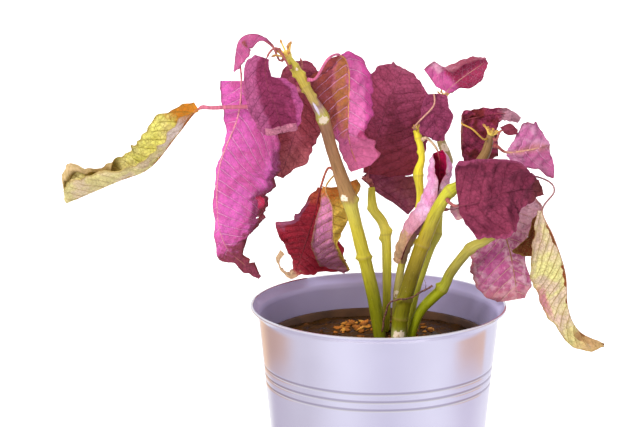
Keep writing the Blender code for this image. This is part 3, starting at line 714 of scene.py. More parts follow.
leaf(
    "bract_long_left", "stem_a", stalk=[(-55, 5, 143), (-70, 6, 154), (-80, 4, 145)],
    midrib=[
        (-80, 3, 130), (-82, 1, 110), (-93, 1, 80), (-94, 2, 50), (-89, 3, 33), (-80, 4, 24), (-70, 5, 15),
    ],
    face=(0.2, -1, 0.1),
    right=[
        (0, 4), (0.05, 16), (0.16, 24), (0.25, 32), (0.31, 37), (0.4, 38), (0.51, 37), (0.62, 33),
        (0.72, 29), (0.8, 23), (0.84, 14), (0.875, 4), (0.93, 5), (1, 1.5),
    ],
    left=[
        (0, 12), (0.1, 11), (0.18, 8), (0.26, 3), (0.6, 3), (0.75, 5), (0.82, 8), (0.87, 3), (0.93, 4),
        (1, 1),
    ],
    left_fold=[(0, -5), (0.16, -25), (0.37, -70), (0.66, -60), (0.85, -20)],
    right_curl=[(0, -15), (0.25, -22), (0.5, -22), (0.85, -15)],
    folds=[
        (1, 0.8, [(0.2, 0), (0.3, -28), (0.5, -24), (0.55, 0)]),
        (1, 0.64, [(0.5, 0), (0.56, -28), (0.85, -20)]),
    ],
    look=dict(
        MAGENTA, tip=(0.17, 0.03, 0.03), tip_from=(0.75, 0.84),
        zones=[
            # the first two zones are painted shade on the strip folded back beyond the fold lines
            (0.8, EDGE, 0.25, 0.55, 0.03, (0.34, 0.055, 0.19), 0.95),
            (0.6, EDGE, 0.52, EDGE, 0.04, (0.32, 0.05, 0.15), 0.95),
            (0.94, EDGE, 0.33, 0.55, 0.03, (0.2, 0.035, 0.04), 0.8),
            (0.8, EDGE, 0.55, EDGE, 0.06, (0.18, 0.025, 0.02), 0.9),
            (0.74, 0.9, 0.57, 0.63, 0.02, (0.8, 0.04, 0.14), 0.9),
        ],
    ),
    rib=((0.42, 0.1, 0.14), (0.62, 0.24, 0.3), (0.25, 0.08, 0.05)), pleat=0.4, ripple=0.8, rib_share=0.9,
    fray=0.035, edge_curl=10.0,
    notches=[(1, 0.57, 0.015, 0.1), (1, 0.92, 0.012, 0.6), (-1, 0.95, 0.02, 0.6)],
    holes=[(0.69, 0.62, 0.8)],
)
leaf(
    "bract_front_purple", "stem_a", stalk=[(-52, -6, 139), (-59, -10, 151)],
    midrib=[(-65, -15, 146), (-65, -17, 133), (-58, -18, 113), (-56, -22, 105), (-57, -28, 110)],
    face=(0, -1, 0.1),
    right=[(0, 1.5), (0.2, 3), (0.27, 11), (0.42, 15), (0.6, 15), (0.74, 12), (0.84, 9), (1, 9)],
    left=[(0, 7), (0.06, 11), (0.3, 14), (0.5, 15), (0.7, 13), (0.85, 10), (1, 9)],
    look=dict(
        PURPLE, tissue=(0.2, 0.024, 0.075), patch=(0.3, 0.04, 0.13),
        zones=[
            (-EDGE, -0.45, BASE, EDGE, 0.1, (0.38, 0.085, 0.21), 0.9),
            # the second zone is a painted highlight along the right margin
            (0.75, EDGE, 0.2, 0.85, 0.08, (0.38, 0.07, 0.22), 0.8),
        ],
    ),
    back=dict(
        tissue=(0.53, 0.19, 0.26), patch=(0.44, 0.1, 0.18),
        zones=[(-EDGE, EDGE, 0.8, EDGE, 0.03, (0.53, 0.18, 0.26), 0.9)],
    ),
)
leaf(
    "bract_top_hook", "stem_a", stalk=[(-58, -4, 143)],
    midrib=[(-63, -4, 153), (-72, -5, 158), (-81, -5, 154), (-84, -6, 137)], face=(0, 0, 1),
    right=[(0, 2), (0.15, 5), (0.35, 10), (0.7, 11), (0.9, 7), (1, 2)],
    left=[(0, 2), (0.2, 3), (0.45, 4), (0.7, 4), (0.9, 3), (1, 2)],
    right_fold=[(0, -20), (0.2, -45), (0.8, -40), (1, -20)],
    left_fold=[(0, -20), (0.2, -45), (0.8, -40), (1, -20)],
    look=dict(
        MAGENTA, tissue=(0.5, 0.09, 0.25), patch=(0.36, 0.07, 0.2), vein_strength=0.3,
        zones=[(0.3, 0.8, 0.45, 0.56, 0.05, (0.22, 0.05, 0.03), 0.9)],
    ),
    rib_share=0.6, crease=0.5, edge_curl=40.0,
)
leaf(
    "bract_behind_stem", "stem_a", stalk=[(-45, 7, 138)],
    midrib=[(-46, 12, 140), (-44, 17, 118), (-52, 22, 88), (-58, 23, 70)],
    right=[(0, 4), (0.04, 8), (0.15, 10), (0.4, 14), (0.66, 13), (0.83, 11), (0.92, 5), (1, 2)],
    left=[(0, 4), (0.05, 12), (0.15, 15), (0.35, 17), (0.55, 17), (0.75, 13), (0.9, 6), (1, 2)],
    look=dict(
        MAROON, tissue=(0.31, 0.05, 0.07), patch=(0.42, 0.085, 0.12),
        zones=[
            (-EDGE, EDGE, BASE, 0.2, 0.12, (0.44, 0.09, 0.17), 0.7),
            (-EDGE, EDGE, 0.75, EDGE, 0.12, (0.36, 0.1, 0.1), 0.6),
        ],
    ),
    fray=0.16,
)
leaf(
    "bract_centre_left", "stem_a", stalk=[(-37, -4, 133), (-30, -9, 145)],
    midrib=[(-23, 2, 145), (-18, 11, 134), (-18, 13, 96), (-12, 8, 78)],
    right=[
        (0, 1.5), (0.08, 6), (0.2, 13), (0.36, 16), (0.56, 17), (0.66, 14), (0.74, 10), (0.82, 15),
        (0.9, 13), (0.96, 15), (1, 8),
    ],
    left=[(0, 2), (0.08, 14), (0.2, 23), (0.35, 23), (0.5, 17), (0.65, 11), (0.78, 7), (0.88, 5), (1, 5)],
    right_fold=[(0, 20)], right_curl=[(0, -50), (0.7, -40), (0.9, 10)],
    left_fold=[(0, -30), (0.12, -12), (0.3, -6)],
    folds=[(1, 0.58, [(0, -10), (0.3, -28), (0.8, -20)]), (-1, 0.45, [(0, 10), (0.4, 24)])],
    look=dict(
        MAGENTA, tissue=(0.72, 0.17, 0.43), left=(0.44, 0.13, 0.07), tip=(0.5, 0.11, 0.23),
        net_strength=0.1, tip_from=(0.66, 0.8),
        zones=[
            # the first zone is painted shade on the outer left half
            (-EDGE, -0.42, BASE, 0.62, 0.08, (0.26, 0.045, 0.035), 0.9),
            (-0.4, -0.02, 0.02, 0.62, 0.1, (0.43, 0.16, 0.035), 0.8),
            (0.6, EDGE, BASE, 0.7, 0.05, (0.66, 0.07, 0.34), 0.8),
            (0.5, EDGE, 0.68, 0.78, 0.04, (0.52, 0.02, 0.16), 0.85),
        ],
    ),
    rib=((0.5, 0.12, 0.24), (0.6, 0.3, 0.1), (0.35, 0.1, 0.05)), stalk_width=1.5, rib_share=0.6, crease=1.6,
)
leaf(
    "bract_low_left", "stem_a", stalk=[(-30, 6, 79)],
    midrib=[(-34, 14, 66), (-38, 28, 45), (-49, 64, 4), (-56, 71, 1), (-60, 70, 8), (-57, 69, 14)],
    face=(0, -1, 0.4),
    right=[(0, 2), (0.1, 8), (0.3, 16), (0.5, 25), (0.62, 28), (0.7, 13), (0.78, 3), (1, 2)],
    left=[(0, 2), (0.1, 6), (0.3, 11), (0.4, 21), (0.54, 12), (0.68, 4), (0.76, 2), (1, 2)],
    look=dict(
        CRIMSON, tissue=(0.46, 0.028, 0.052), patch=(0.38, 0.02, 0.04), net_strength=0.15,
        tip=(0.64, 0.46, 0.26), tip_from=(0.74, 0.82),
        zones=[
            (-EDGE, -0.72, 0.05, 0.42, 0.05, (0.44, 0.13, 0.24), 0.85),
            (-EDGE, 0.5, BASE, 0.12, 0.05, (0.52, 0.11, 0.05), 0.85),
        ],
    ),
    rib=((0.4, 0.1, 0.06), (0.22, 0.02, 0.03), (0.62, 0.44, 0.24)), stalk_width=1.4, follows_stem=True,
    crease=0.6, edge_curl=30.0, rib_share=0.8,
)
leaf(
    "leaf_golden", "stem_a", stalk=[(-22, 6, 79)],
    midrib=[(-31, 7, 68), (-27, 9, 55), (-26, 17, 33), (-17, 42, 9)], face=(0, -1, 0.2),
    right=[(0, 8), (0.05, 20), (0.12, 20), (0.2, 14), (0.38, 9), (0.47, 5), (0.54, 1.2), (1, 1)],
    left=[(0, 2), (0.16, 7), (0.36, 11), (0.56, 14), (0.75, 14), (0.9, 13), (0.97, 6), (1, 3)],
    right_fold=[(0, -10)], left_fold=[(0, -25), (0.5, -15)],
    look=dict(
        YELLOW, tissue=(0.8, 0.56, 0.1), patch=(0.7, 0.44, 0.07), left=(0.58, 0.18, 0.38),
        vein=(0.42, 0.17, 0.03), base=(0.56, 0.17, 0.03), base_to=(0.1, 0.22),
        zones=[
            (-EDGE, -0.06, 0.08, EDGE, 0.05, (0.68, 0.23, 0.46), 0.9),
            (-EDGE, -0.85, 0.08, EDGE, 0.05, (0.46, 0.13, 0.24), 0.7),
        ],
    ),
    rib=((0.5, 0.3, 0.1), (0.52, 0.28, 0.12), (0.3, 0.12, 0.06)), rib_share=0.7, follows_stem=True,
    crease=1.0, pleat=0.4,
)
leaf(
    "bract_dark_large", "stem_b", stalk=[(-5, 4, 73)],
    midrib=[(-6, 4, 77), (2, 4, 108), (12, 8, 135), (15, 26, 134), (17, 32, 125)],
    right=[(0, 3), (0.1, 6), (0.25, 10), (0.4, 15), (0.55, 18), (0.65, 14), (0.74, 7), (0.85, 5), (1, 3)],
    left=[
        (0, 14), (0.05, 26), (0.12, 31), (0.3, 30), (0.4, 30), (0.5, 28), (0.6, 22), (0.68, 15), (0.76, 7),
        (0.9, 5), (1, 3),
    ],
    right_fold=[(0, -5)], left_fold=[(0, -8), (0.45, -8), (0.7, 0)],
    right_curl=[(0, 0), (0.4, -20), (0.7, -10), (1, 0)], left_curl=[(0, 0), (0.4, -15), (0.7, -10), (1, 0)],
    look=dict(
        PURPLE, tissue=(0.22, 0.032, 0.065), patch=(0.33, 0.053, 0.115),
        zones=[
            (-EDGE, EDGE, BASE, 0.24, 0.12, (0.23, 0.03, 0.04), 0.7),
            (0.85, EDGE, BASE, 0.1, 0.04, (0.4, 0.09, 0.2), 0.8),
            (-EDGE, EDGE, 0.5, 0.75, 0.1, (0.34, 0.07, 0.15), 0.3),
        ],
    ),
    slant=0.35, stalk_width=1.8,
)
leaf(
    "bract_brown_low", "stem_b", stalk=[(-4, 9, 70)],
    midrib=[(-9, 14, 73), (0, 16, 66), (10, 17, 59), (19, 16, 51)],
    right=[(0, 5), (0.2, 11), (0.45, 16), (0.75, 23), (1, 14)], left=[(0, 1.5), (0.5, 3), (1, 2)],
    folds=[(1, 0.5, [(0, 0), (0.5, 30), (1, 40)])],
    look=dict(
        MAROON, tissue=(0.3, 0.065, 0.13), patch=(0.44, 0.13, 0.21),
        zones=[(0.3, EDGE, 0.55, EDGE, 0.2, (0.34, 0.09, 0.1), 0.7)],
    ),
    crease=2.0, stalk_width=1.8,
)
leaf(
    "bract_dark_small", "stem_c", stalk=[(20, -4, 106), (23, -14, 112), (31, -14, 121)],
    midrib=[(31, -9, 127), (33, -9, 110), (35, -8, 99)],
    right=[(0, 4), (0.06, 8), (0.3, 8), (0.5, 10), (0.7, 8), (0.95, 4), (1, 2)],
    left=[(0, 3), (0.1, 6), (0.3, 8), (0.6, 10), (0.78, 11), (0.95, 5), (1, 2)],
    look=dict(PURPLE, patch=(0.27, 0.045, 0.11)),
    rib=((0.5, 0.26, 0.2), (0.22, 0.04, 0.08), (0.16, 0.03, 0.05)), stalk_width=1.0, edge_curl=45.0,
    crease=1.2,
)
leaf(
    "bract_top_right", "stem_e", stalk=[(38, -2, 120)], midrib=[(39, -2, 127), (47, -3, 135), (62, 1, 145)],
    right=[(0, 7), (0.08, 19), (0.2, 19), (0.3, 18), (0.5, 15), (0.75, 11), (1, 4)],
    left=[(0, 2), (0.2, 4), (0.45, 8), (0.7, 8), (0.9, 4), (1, 1.5)],
    folds=[(1, 0.68, [(0.22, 0), (0.34, 125), (0.9, 140)])],
    look=dict(
        MAGENTA, tissue=(0.76, 0.15, 0.42), vein_strength=0.12,
        zones=[
            (0.55, EDGE, 0.15, 0.28, 0.04, (0.8, 0.46, 0.6), 0.8),
            (-EDGE, 0.68, 0.24, EDGE, 0.05, (0.33, 0.022, 0.065), 0.9),
        ],
    ),
    back=dict(tissue=(0.44, 0.13, 0.19), patch=(0.32, 0.06, 0.1)),
    rib=((0.4, 0.2, 0.14), (0.55, 0.28, 0.24), (0.3, 0.08, 0.08)), rib_share=0.6,
)
leaf(
    "bract_keyhole", "stem_c", stalk=[(28, -1, 99)],
    midrib=[(34, 0, 91), (35, 1, 77), (31, -3, 60), (19, -3, 43), (13, 1, 26)],
    right=[(0, 6), (0.06, 15), (0.14, 19), (0.3, 18), (0.45, 11), (0.8, 11), (1, 9)],
    left=[(0, 6), (0.06, 15), (0.14, 19), (0.3, 21), (0.45, 25), (0.6, 24), (0.8, 17), (1, 13)],
    right_curl=[(0, 110), (0.06, 145), (0.2, 156), (0.32, 172), (1, 160)],
    left_curl=[(0, 110), (0.06, 145), (0.2, 156), (0.32, 178), (0.5, 198), (1, 190)],
    look=dict(CRIMSON, tissue=(0.46, 0.006, 0.075), patch=(0.32, 0.01, 0.04)),
    back=dict(
        PALE, tissue=(0.84, 0.52, 0.74), patch=(0.76, 0.3, 0.54), tip=(0.44, 0.27, 0.1),
        tip_from=(0.7, 0.78), net_strength=0.1,
        zones=[(-EDGE, EDGE, 0.58, 0.76, 0.06, (0.56, 0.2, 0.24), 0.7)],
    ),
    rib=((0.6, 0.45, 0.3), (0.4, 0.03, 0.07), (0.3, 0.03, 0.05)), stalk_width=1.6, follows_stem=True,
    crease=0.5, ripple=0.8, edge_curl=0.0,
)
leaf(
    "bract_pale_scrap", "stem_d", stalk=[(39, -3, 57)], midrib=[(41, -2, 57), (53, -2, 58)],
    right=[(0, 2), (0.3, 3), (0.7, 3), (1, 2)], left=[(0, 2), (0.3, 7), (0.7, 6), (1, 3)],
    look=dict(
        PALE, tissue=(0.74, 0.52, 0.42), zones=[(0.5, EDGE, BASE, EDGE, 0.1, (0.2, 0.05, 0.06), 0.9)],
    ),
    stalk_width=1.8,
)
leaf(
    "bract_ribbon", "stem_d", stalk=[(59, -6, 99), (53, -8, 105)],
    midrib=[(47, 3, 107), (59, 10, 109), (72, 8, 111), (81, 8, 107)], face=(-1, 0, 0),
    right=[(0, 6), (0.06, 22), (0.2, 33), (0.36, 33), (0.48, 28), (0.55, 12), (0.64, 6), (0.85, 3), (1, 2)],
    left=[(0, 3), (0.1, 6), (0.25, 5), (0.5, 5), (0.7, 4), (0.85, 3), (1, 2)],
    look=dict(
        MAROON, tissue=(0.34, 0.045, 0.11), patch=(0.17, 0.02, 0.022), patch_size=0.7,
        base=(0.46, 0.22, 0.16), base_to=(0.01, 0.06),
    ),
    back=dict(tip=(0.43, 0.22, 0.28), tip_from=(0.62, 0.78)),
    rib=((0.46, 0.27, 0.05), (0.26, 0.05, 0.07), (0.34, 0.1, 0.14)), stalk_width=1.0, crease=2.4,
    crease_size=9.0,
)
leaf(
    "bract_scrap", "stem_d", stalk=[(67, -5, 98)], midrib=[(70, -5, 104), (79, -5, 103)],
    right=[(0, 2), (0.5, 4), (1, 2)], left=[(0, 2), (0.5, 3), (1, 2)], look=MAROON, edge_curl=60.0,
)
leaf(
    "bract_right_pink", "stem_d", stalk=[(68, -4, 94)], midrib=[(73, -5, 91), (85, -4, 92), (98, 1, 94)],
    right=[(0, 2), (0.15, 6), (0.3, 11), (0.42, 16), (0.72, 16), (0.82, 10), (1, 2)],
    left=[(0, 2), (0.15, 8), (0.35, 10), (0.6, 12), (0.8, 17), (0.95, 19), (1, 14)],
    look=dict(
        MAGENTA, tissue=(0.56, 0.15, 0.35), patch=(0.6, 0.27, 0.43), patch_size=0.7,
        beside_rib=(0.5, 0.2, 0.18), zones=[(-EDGE, -0.1, 0.3, EDGE, 0.2, (0.42, 0.08, 0.21), 0.6)],
    ),
    rib=((0.28, 0.07, 0.07), (0.58, 0.32, 0.22), (0.5, 0.2, 0.2)), stalk_width=1.8, rib_share=0.8,
    crease=2.0, crease_size=9.0, edge_curl=45.0,
)
leaf(
    "bract_crumpled", "stem_d", stalk=[(40, -16, 64)],
    midrib=[(45, -20, 63), (60, -23, 67), (78, -19, 72), (94, -9, 69)],
    right=[
        (0, 10), (0.05, 22), (0.14, 26), (0.33, 24), (0.5, 21), (0.65, 17), (0.8, 10), (0.93, 6), (1, 2),
    ],
    left=[
        (0, 5), (0.06, 14), (0.12, 21), (0.25, 22), (0.38, 25), (0.47, 24), (0.58, 18), (0.72, 11),
        (0.85, 8), (0.95, 3), (1, 2),
    ],
    look=dict(
        PURPLE, tissue=(0.18, 0.025, 0.058), patch=(0.25, 0.038, 0.082),
        zones=[(-EDGE, EDGE, 0.86, EDGE, 0.06, (0.14, 0.03, 0.025), 0.8)],
    ),
    rib_share=0.3, crease=3.2, crease_size=12.0, edge_curl=35.0, slant=0.3, stalk_width=1.8,
)
leaf(
    "bract_right_hanging", "stem_f", stalk=[(67, 5, 56)],
    midrib=[(62, 13, 66), (70, 14, 48), (77, 13, 28), (82, 11, 0)],
    right=[
        (0, 4), (0.08, 12), (0.18, 20), (0.28, 26), (0.36, 25), (0.45, 16), (0.56, 9), (0.7, 8), (0.88, 10),
        (1, 4),
    ],
    left=[(0, 3), (0.2, 7), (0.38, 15), (0.52, 22), (0.65, 25), (0.82, 24), (0.93, 19), (1, 12)],
    folds=[(-1, 0.75, [(0.3, 0), (0.5, -25), (1, -25)])],
    look=dict(
        PALE, tissue=(0.48, 0.12, 0.26), patch=(0.7, 0.4, 0.5), patch_size=0.4, vein=(0.7, 0.42, 0.36),
        vein_strength=0.7,
        zones=[
            (-0.75, -0.15, 0.5, 0.78, 0.12, (0.5, 0.07, 0.27), 0.75),
            (-EDGE, -0.7, 0.3, 0.5, 0.08, (0.2, 0.06, 0.05), 0.85),
            (0.05, EDGE, BASE, 0.44, 0.08, (0.76, 0.46, 0.54), 0.75),
            (-EDGE, EDGE, 0.9, EDGE, 0.08, (0.52, 0.2, 0.18), 0.6),
        ],
    ),
    rib=((0.34, 0.3, 0.06), (0.34, 0.16, 0.07), (0.4, 0.2, 0.1)), stalk_width=1.6, rib_share=0.9,
    crease=1.2, edge_curl=40.0, fray=0.09,
)
leaf(
    "leaf_far_right", "stem_d", stalk=[(72, 5, 79), (95, 2, 74), (101, -3, 68)],
    midrib=[(94, -6, 57), (101, -7, 41), (108, -7, 20), (110, -7, -1), (117, -6, -15), (132, -4, -23)],
    face=(-1, 0, -0.2),
    right=[
        (0, 3), (0.08, 8), (0.17, 14), (0.26, 18), (0.36, 21), (0.46, 20), (0.56, 17), (0.65, 13),
        (0.72, 10), (0.8, 10), (0.92, 8), (1, 2),
    ],
    left=[
        (0, 1), (0.05, 9), (0.1, 14), (0.15, 23), (0.2, 27), (0.24, 22), (0.28, 12), (0.35, 7), (0.8, 8),
        (1, 2),
    ],
    right_fold=[(0, 60), (0.1, 78), (0.65, 78), (0.8, 65), (1, 50)],
    left_fold=[(0, 50), (0.12, 66), (0.4, 72), (1, 70)],
    look=dict(
        YELLOW, tissue=(0.26, 0.06, 0.018), patch=(0.2, 0.045, 0.014), vein=(0.16, 0.04, 0.01),
        vein_strength=0.3, tip=(0.26, 0.12, 0.04), tip_from=(0.7, 0.85),
    ),
    back=dict(
        tissue=(0.8, 0.74, 0.3), patch=(0.74, 0.56, 0.4), vein=(0.42, 0.28, 0.06), vein_strength=0.7,
        tip=(0.56, 0.34, 0.14), tip_from=(0.72, 0.95),
        zones=[
            (0.45, EDGE, 0.04, 0.22, 0.1, (0.55, 0.3, 0.32), 0.7),
            (0.7, EDGE, 0.5, 0.66, 0.06, (0.62, 0.2, 0.3), 0.9),
            (-0.1, 0.9, 0.66, 0.74, 0.06, (0.7, 0.46, 0.44), 0.8),
            (-0.9, 0.45, 0.8, 0.93, 0.04, (0.24, 0.07, 0.03), 0.9),
        ],
    ),
    rib=((0.28, 0.13, 0.14), (0.36, 0.18, 0.12), (0.3, 0.15, 0.07)), stalk_width=1.1, rib_share=0.7,
    slant=1.1, pleat=0.7, edge_curl=30.0,
)

# Stems

# (height above the rim, colour) up each stem
STEM_LOOKS = {
    "stem_a": [
        (-25, (0.12, 0.13, 0.003)), (5, (0.2, 0.2, 0.004)), (30, (0.42, 0.35, 0.02)),
        (45, (0.44, 0.36, 0.02)), (60, (0.42, 0.36, 0.05)), (65, (0.28, 0.15, 0.05)),
        (90, (0.28, 0.13, 0.05)), (108, (0.3, 0.14, 0.07)), (111, (0.46, 0.42, 0.06)),
        (115, (0.42, 0.28, 0.18)), (118, (0.28, 0.13, 0.14)), (121, (0.42, 0.3, 0.08)),
        (130, (0.44, 0.34, 0.05)), (147, (0.54, 0.46, 0.05)),
    ],
    "stem_b": [
        (-25, (0.24, 0.24, 0.004)), (20, (0.58, 0.52, 0.04)), (45, (0.66, 0.56, 0.07)),
        (66, (0.44, 0.38, 0.03)),
    ],
    "stem_c": [
        (-25, (0.3, 0.3, 0.02)), (8, (0.45, 0.38, 0.12)), (30, (0.42, 0.36, 0.01)),
        (60, (0.64, 0.56, 0.03)), (104, (0.64, 0.54, 0.03)),
    ],
    "stem_d": [
        (-22, (0.4, 0.42, 0.18)), (-12, (0.17, 0.17, 0.004)), (20, (0.15, 0.11, 0.001)),
        (40, (0.3, 0.22, 0.01)), (60, (0.38, 0.34, 0.02)), (70, (0.46, 0.46, 0.03)),
        (84, (0.22, 0.12, 0.04)), (101, (0.24, 0.13, 0.05)),
    ],
    "stem_e": [
        (-25, (0.3, 0.3, 0.02)), (30, (0.44, 0.42, 0.04)), (60, (0.4, 0.38, 0.04)), (85, (0.3, 0.24, 0.1)),
        (122, (0.4, 0.3, 0.1)),
    ],
    "stem_f": [
        (-25, (0.22, 0.26, 0.004)), (8, (0.28, 0.3, 0.006)), (20, (0.26, 0.22, 0.03)),
        (43, (0.4, 0.34, 0.06)),
    ],
}
# Marks: (kind, x, height, angle, size, lift). The angle turns from the show side towards +X. A streak is a
# painted highlight.
STEM_MARKS = {
    "stem_a": [
        ("node", -9, 29, 0, 1.4, 0.5), ("node", -18, 65, 0, 3.0, 0.5), ("scar", -18, 66, -28, 2.3, 0.3),
        ("scar", -33, 110, 5, 2.8, 1.0), ("node", -33, 110, 0, 2.5, 0.5),
        ("streak", -36, 116, -15, 5.0, 0.0), ("bud", -17, 62, 80, 2.0, 1.9),
        ("bud", -39, 122, 70, 1.2, 1.2), ("bud", -42, 127, -70, 1.3, 1.4), ("node", -43, 129, 0, 1.0, 0.5),
        ("bud", -46, 134, 80, 1.3, 1.2), ("bud", -47, 136, -60, 1.3, 1.3), ("node", -49, 139, 0, 1.2, 0.5),
        ("scar", -48, 138, 20, 1.0, 0.3), ("bud", -9, 28, 75, 1.1, 0.9), ("bud", -9, 29, -85, 1.2, 1.0),
    ],
    "stem_b": [
        ("bud", 5, 42, 80, 1.6, 1.6), ("bud", 4, 38, -80, 1.6, 1.6), ("bud", -1, 57, -80, 1.4, 1.0),
        ("node", 5, 40, 0, 1.5, 0.4),
    ],
    "stem_c": [
        ("node", 12, 25, 0, 1.5, 0.5), ("scar", 10, 3, -10, 2.6, 0.5), ("node", 22, 76, 0, 2.0, 0.5),
        ("bud", 24, 62, 80, 1.2, 1.2), ("bud", 25, 90, -80, 1.4, 1.0), ("node", 24, 98, 0, 1.2, 0.4),
    ],
    "stem_d": [
        ("node", 12, -7, 0, 1.0, 0.4), ("node", 15, 5, 0, 1.4, 0.5), ("node", 25, 38, 0, 1.8, 0.7),
        ("node", 40, 70, 0, 2.2, 0.6), ("scar", 11, -17, 0, 4.0, 0.2),
    ],
    "stem_e": [("node", 34, 40, 0, 1.8, 0.6), ("node", 40, 83, 0, 2.0, 0.6), ("scar", 37, 91, 10, 3.0, 0.3)],
    "stem_f": [("node", 37, 10, 0, 1.8, 0.6), ("bud", 37, 11, -80, 1.6, 1.4), ("node", 52, 34, 0, 2.0, 0.6)],
}
STEM_SIDES = 28
STEM_RING = 1.0


def stem_material(name):
    g = Graph(name)
    stops = STEM_LOOKS[name]
    low, high = stops[0][0], stops[-1][0]
    bark = g.attribute("bark", "Vector")
    streak = g.noise(g.scaled(bark, (1.0, 1.0, 0.12)), 9.0, 4.0, 0.6)
    fine = g.noise(bark, 22.0, 3.0)
    shaken = g.shaken(g.attribute("height"), g.noise(bark, 1.6, 3.0), 10.0)
    place = g.math("DIVIDE", g.plus(shaken, -low), high - low)
    colour = g.ramp(place, [((z - low) / (high - low), tint) for z, tint in stops], "LINEAR")
    tone = g.ramp(streak, [(0.3, (0.62, 0.60, 0.50)), (0.5, (1, 1, 1)), (0.72, (1.3, 1.28, 1.4))])
    colour = g.mix(0.8, colour, tone, "MULTIPLY")
    freckle = g.rise(g.noise(bark, 14.0), 0.66, 0.74)
    # painted highlight: pale mauve-white where a streak mark lies
    painted_highlight = g.rise(g.shaken(g.attribute("streak"), fine, 0.4), 0.3, 0.6)
    cut = g.shaken(g.attribute("scar"), g.noise(bark, 7.0, 3.0), 1.1)
    for amount, tint in (
        (g.times(freckle, 0.5), (0.45, 0.34, 0.14)), (g.times(g.attribute("ring"), 0.45), (0.30, 0.20, 0.05)),
        (painted_highlight, (0.66, 0.60, 0.74)), (g.rise(cut, 0.42, 0.56), (0.74, 0.62, 0.46)),
        (g.rise(cut, 0.92, 1.02), (0.40, 0.28, 0.14)),
    ):
        colour = g.mix(amount, colour, tint)
    normal = g.bump(g.plus(g.times(streak, 0.7), g.times(fine, 0.3)), 0.35, 0.0005)
    return g.surface(colour, g.plus(g.times(fine, 0.25), 0.30), normal, Specular_IOR_Level=0.3)


def marked(marks, point, turn, place):
    """The radius of a stem with its marks at a turn round it, and how strong its painted marks are there."""
    radius = point.w
    amounts = dict(ring=0.0, scar=0.0, streak=0.0)
    for kind, where, angle, size, lift in marks:
        far = place - where
        if abs(far) > size * 3:
            continue
        round_way = math.remainder(turn - angle, 2 * math.pi) * point.w
        # a streak is a painted highlight down one side of the stem
        if kind == "streak":
            amounts[kind] = max(amounts[kind], math.exp(-((far / size) ** 2) - (round_way / 0.9) ** 2))
        elif kind == "node":
            far += 0.5 * noise.noise(Vector((math.cos(turn) * 2, math.sin(turn) * 2, where)))
            radius += lift * math.exp(-((far / size) ** 2))
            amounts["ring"] = max(amounts["ring"], math.exp(-((far / 0.5) ** 2)))
        else:
            amount = math.exp(-((far**2 + round_way**2) / size**2))
            radius += lift * amount
            if kind == "scar":
                amounts[kind] = max(amounts[kind], amount)
    return radius, amounts


def stem(name):
    curve, upright = STEM_CURVES[name]
    total = lengths_along(curve)
    rings = round(total[-1] / STEM_RING)
    places = [total[-1] * i / rings for i in range(rings + 1)]
    route = read_curve(curve, total, places)
    before = read_curve(upright, total, places)
    tangents = tangents_of(route)
    facing = faces_along(tangents, 0, Vector((0, -1, 0)))
    marks = []
    for kind, x, height, angle, size, lift in STEM_MARKS[name]:
        near = min(range(rings + 1), key=lambda i: math.hypot(before[i].x - x, before[i].z - height))
        marks.append((kind, places[near], math.radians(angle), size, lift))
    seed = sum(ord(letter) for letter in name)
    made = Build("height", "ring", "scar", "streak", "bark")
    rows = []
    for point, upright_point, place, tangent, front in zip(route, before, places, tangents, facing):
        across = tangent.cross(front)
        row = []
        for turn in turns(STEM_SIDES):
            x, y = math.cos(turn), math.sin(turn)
            radius, amounts = marked(marks, point, turn, place)
            radius += 0.22 * noise.noise(Vector((x * 1.2, y * 1.2, place / 14 + seed)))
            radius += 0.10 * noise.noise(Vector((x * 4, y * 4, place / 5 + seed)))
            bark = (x * 0.4, y * 0.4, place / 10 + seed)
            out = front * x + across * y
            row.append(made.point(point.to_3d() + out * radius, height=upright_point.z, bark=bark, **amounts))
        rows.append(row)
    made.loft(rows)
    made.make(name + "_bark", [stem_material(name)], name)


for stem_name in STEMS:
    stem(stem_name)


# Dried flowers and tendril


def gold_material():
    g = Graph("dried_flower")
    grain = g.noise(g.attribute("flat", "Vector"), 12.0, 4.0)
    stops = [
        (0, (0.60, 0.52, 0.08)), (0.5, (0.70, 0.46, 0.10)), (0.85, (0.46, 0.22, 0.05)),
        (1, (0.24, 0.09, 0.03)),
    ]
    colour = g.ramp(g.shaken(g.attribute("along"), grain, 0.5), stops)
    return g.surface(colour, 0.55, g.bump(grain, 0.6, 0.0005))


GOLD = gold_material()
CUP_SIDES = 7
HEART_SIDES = 10


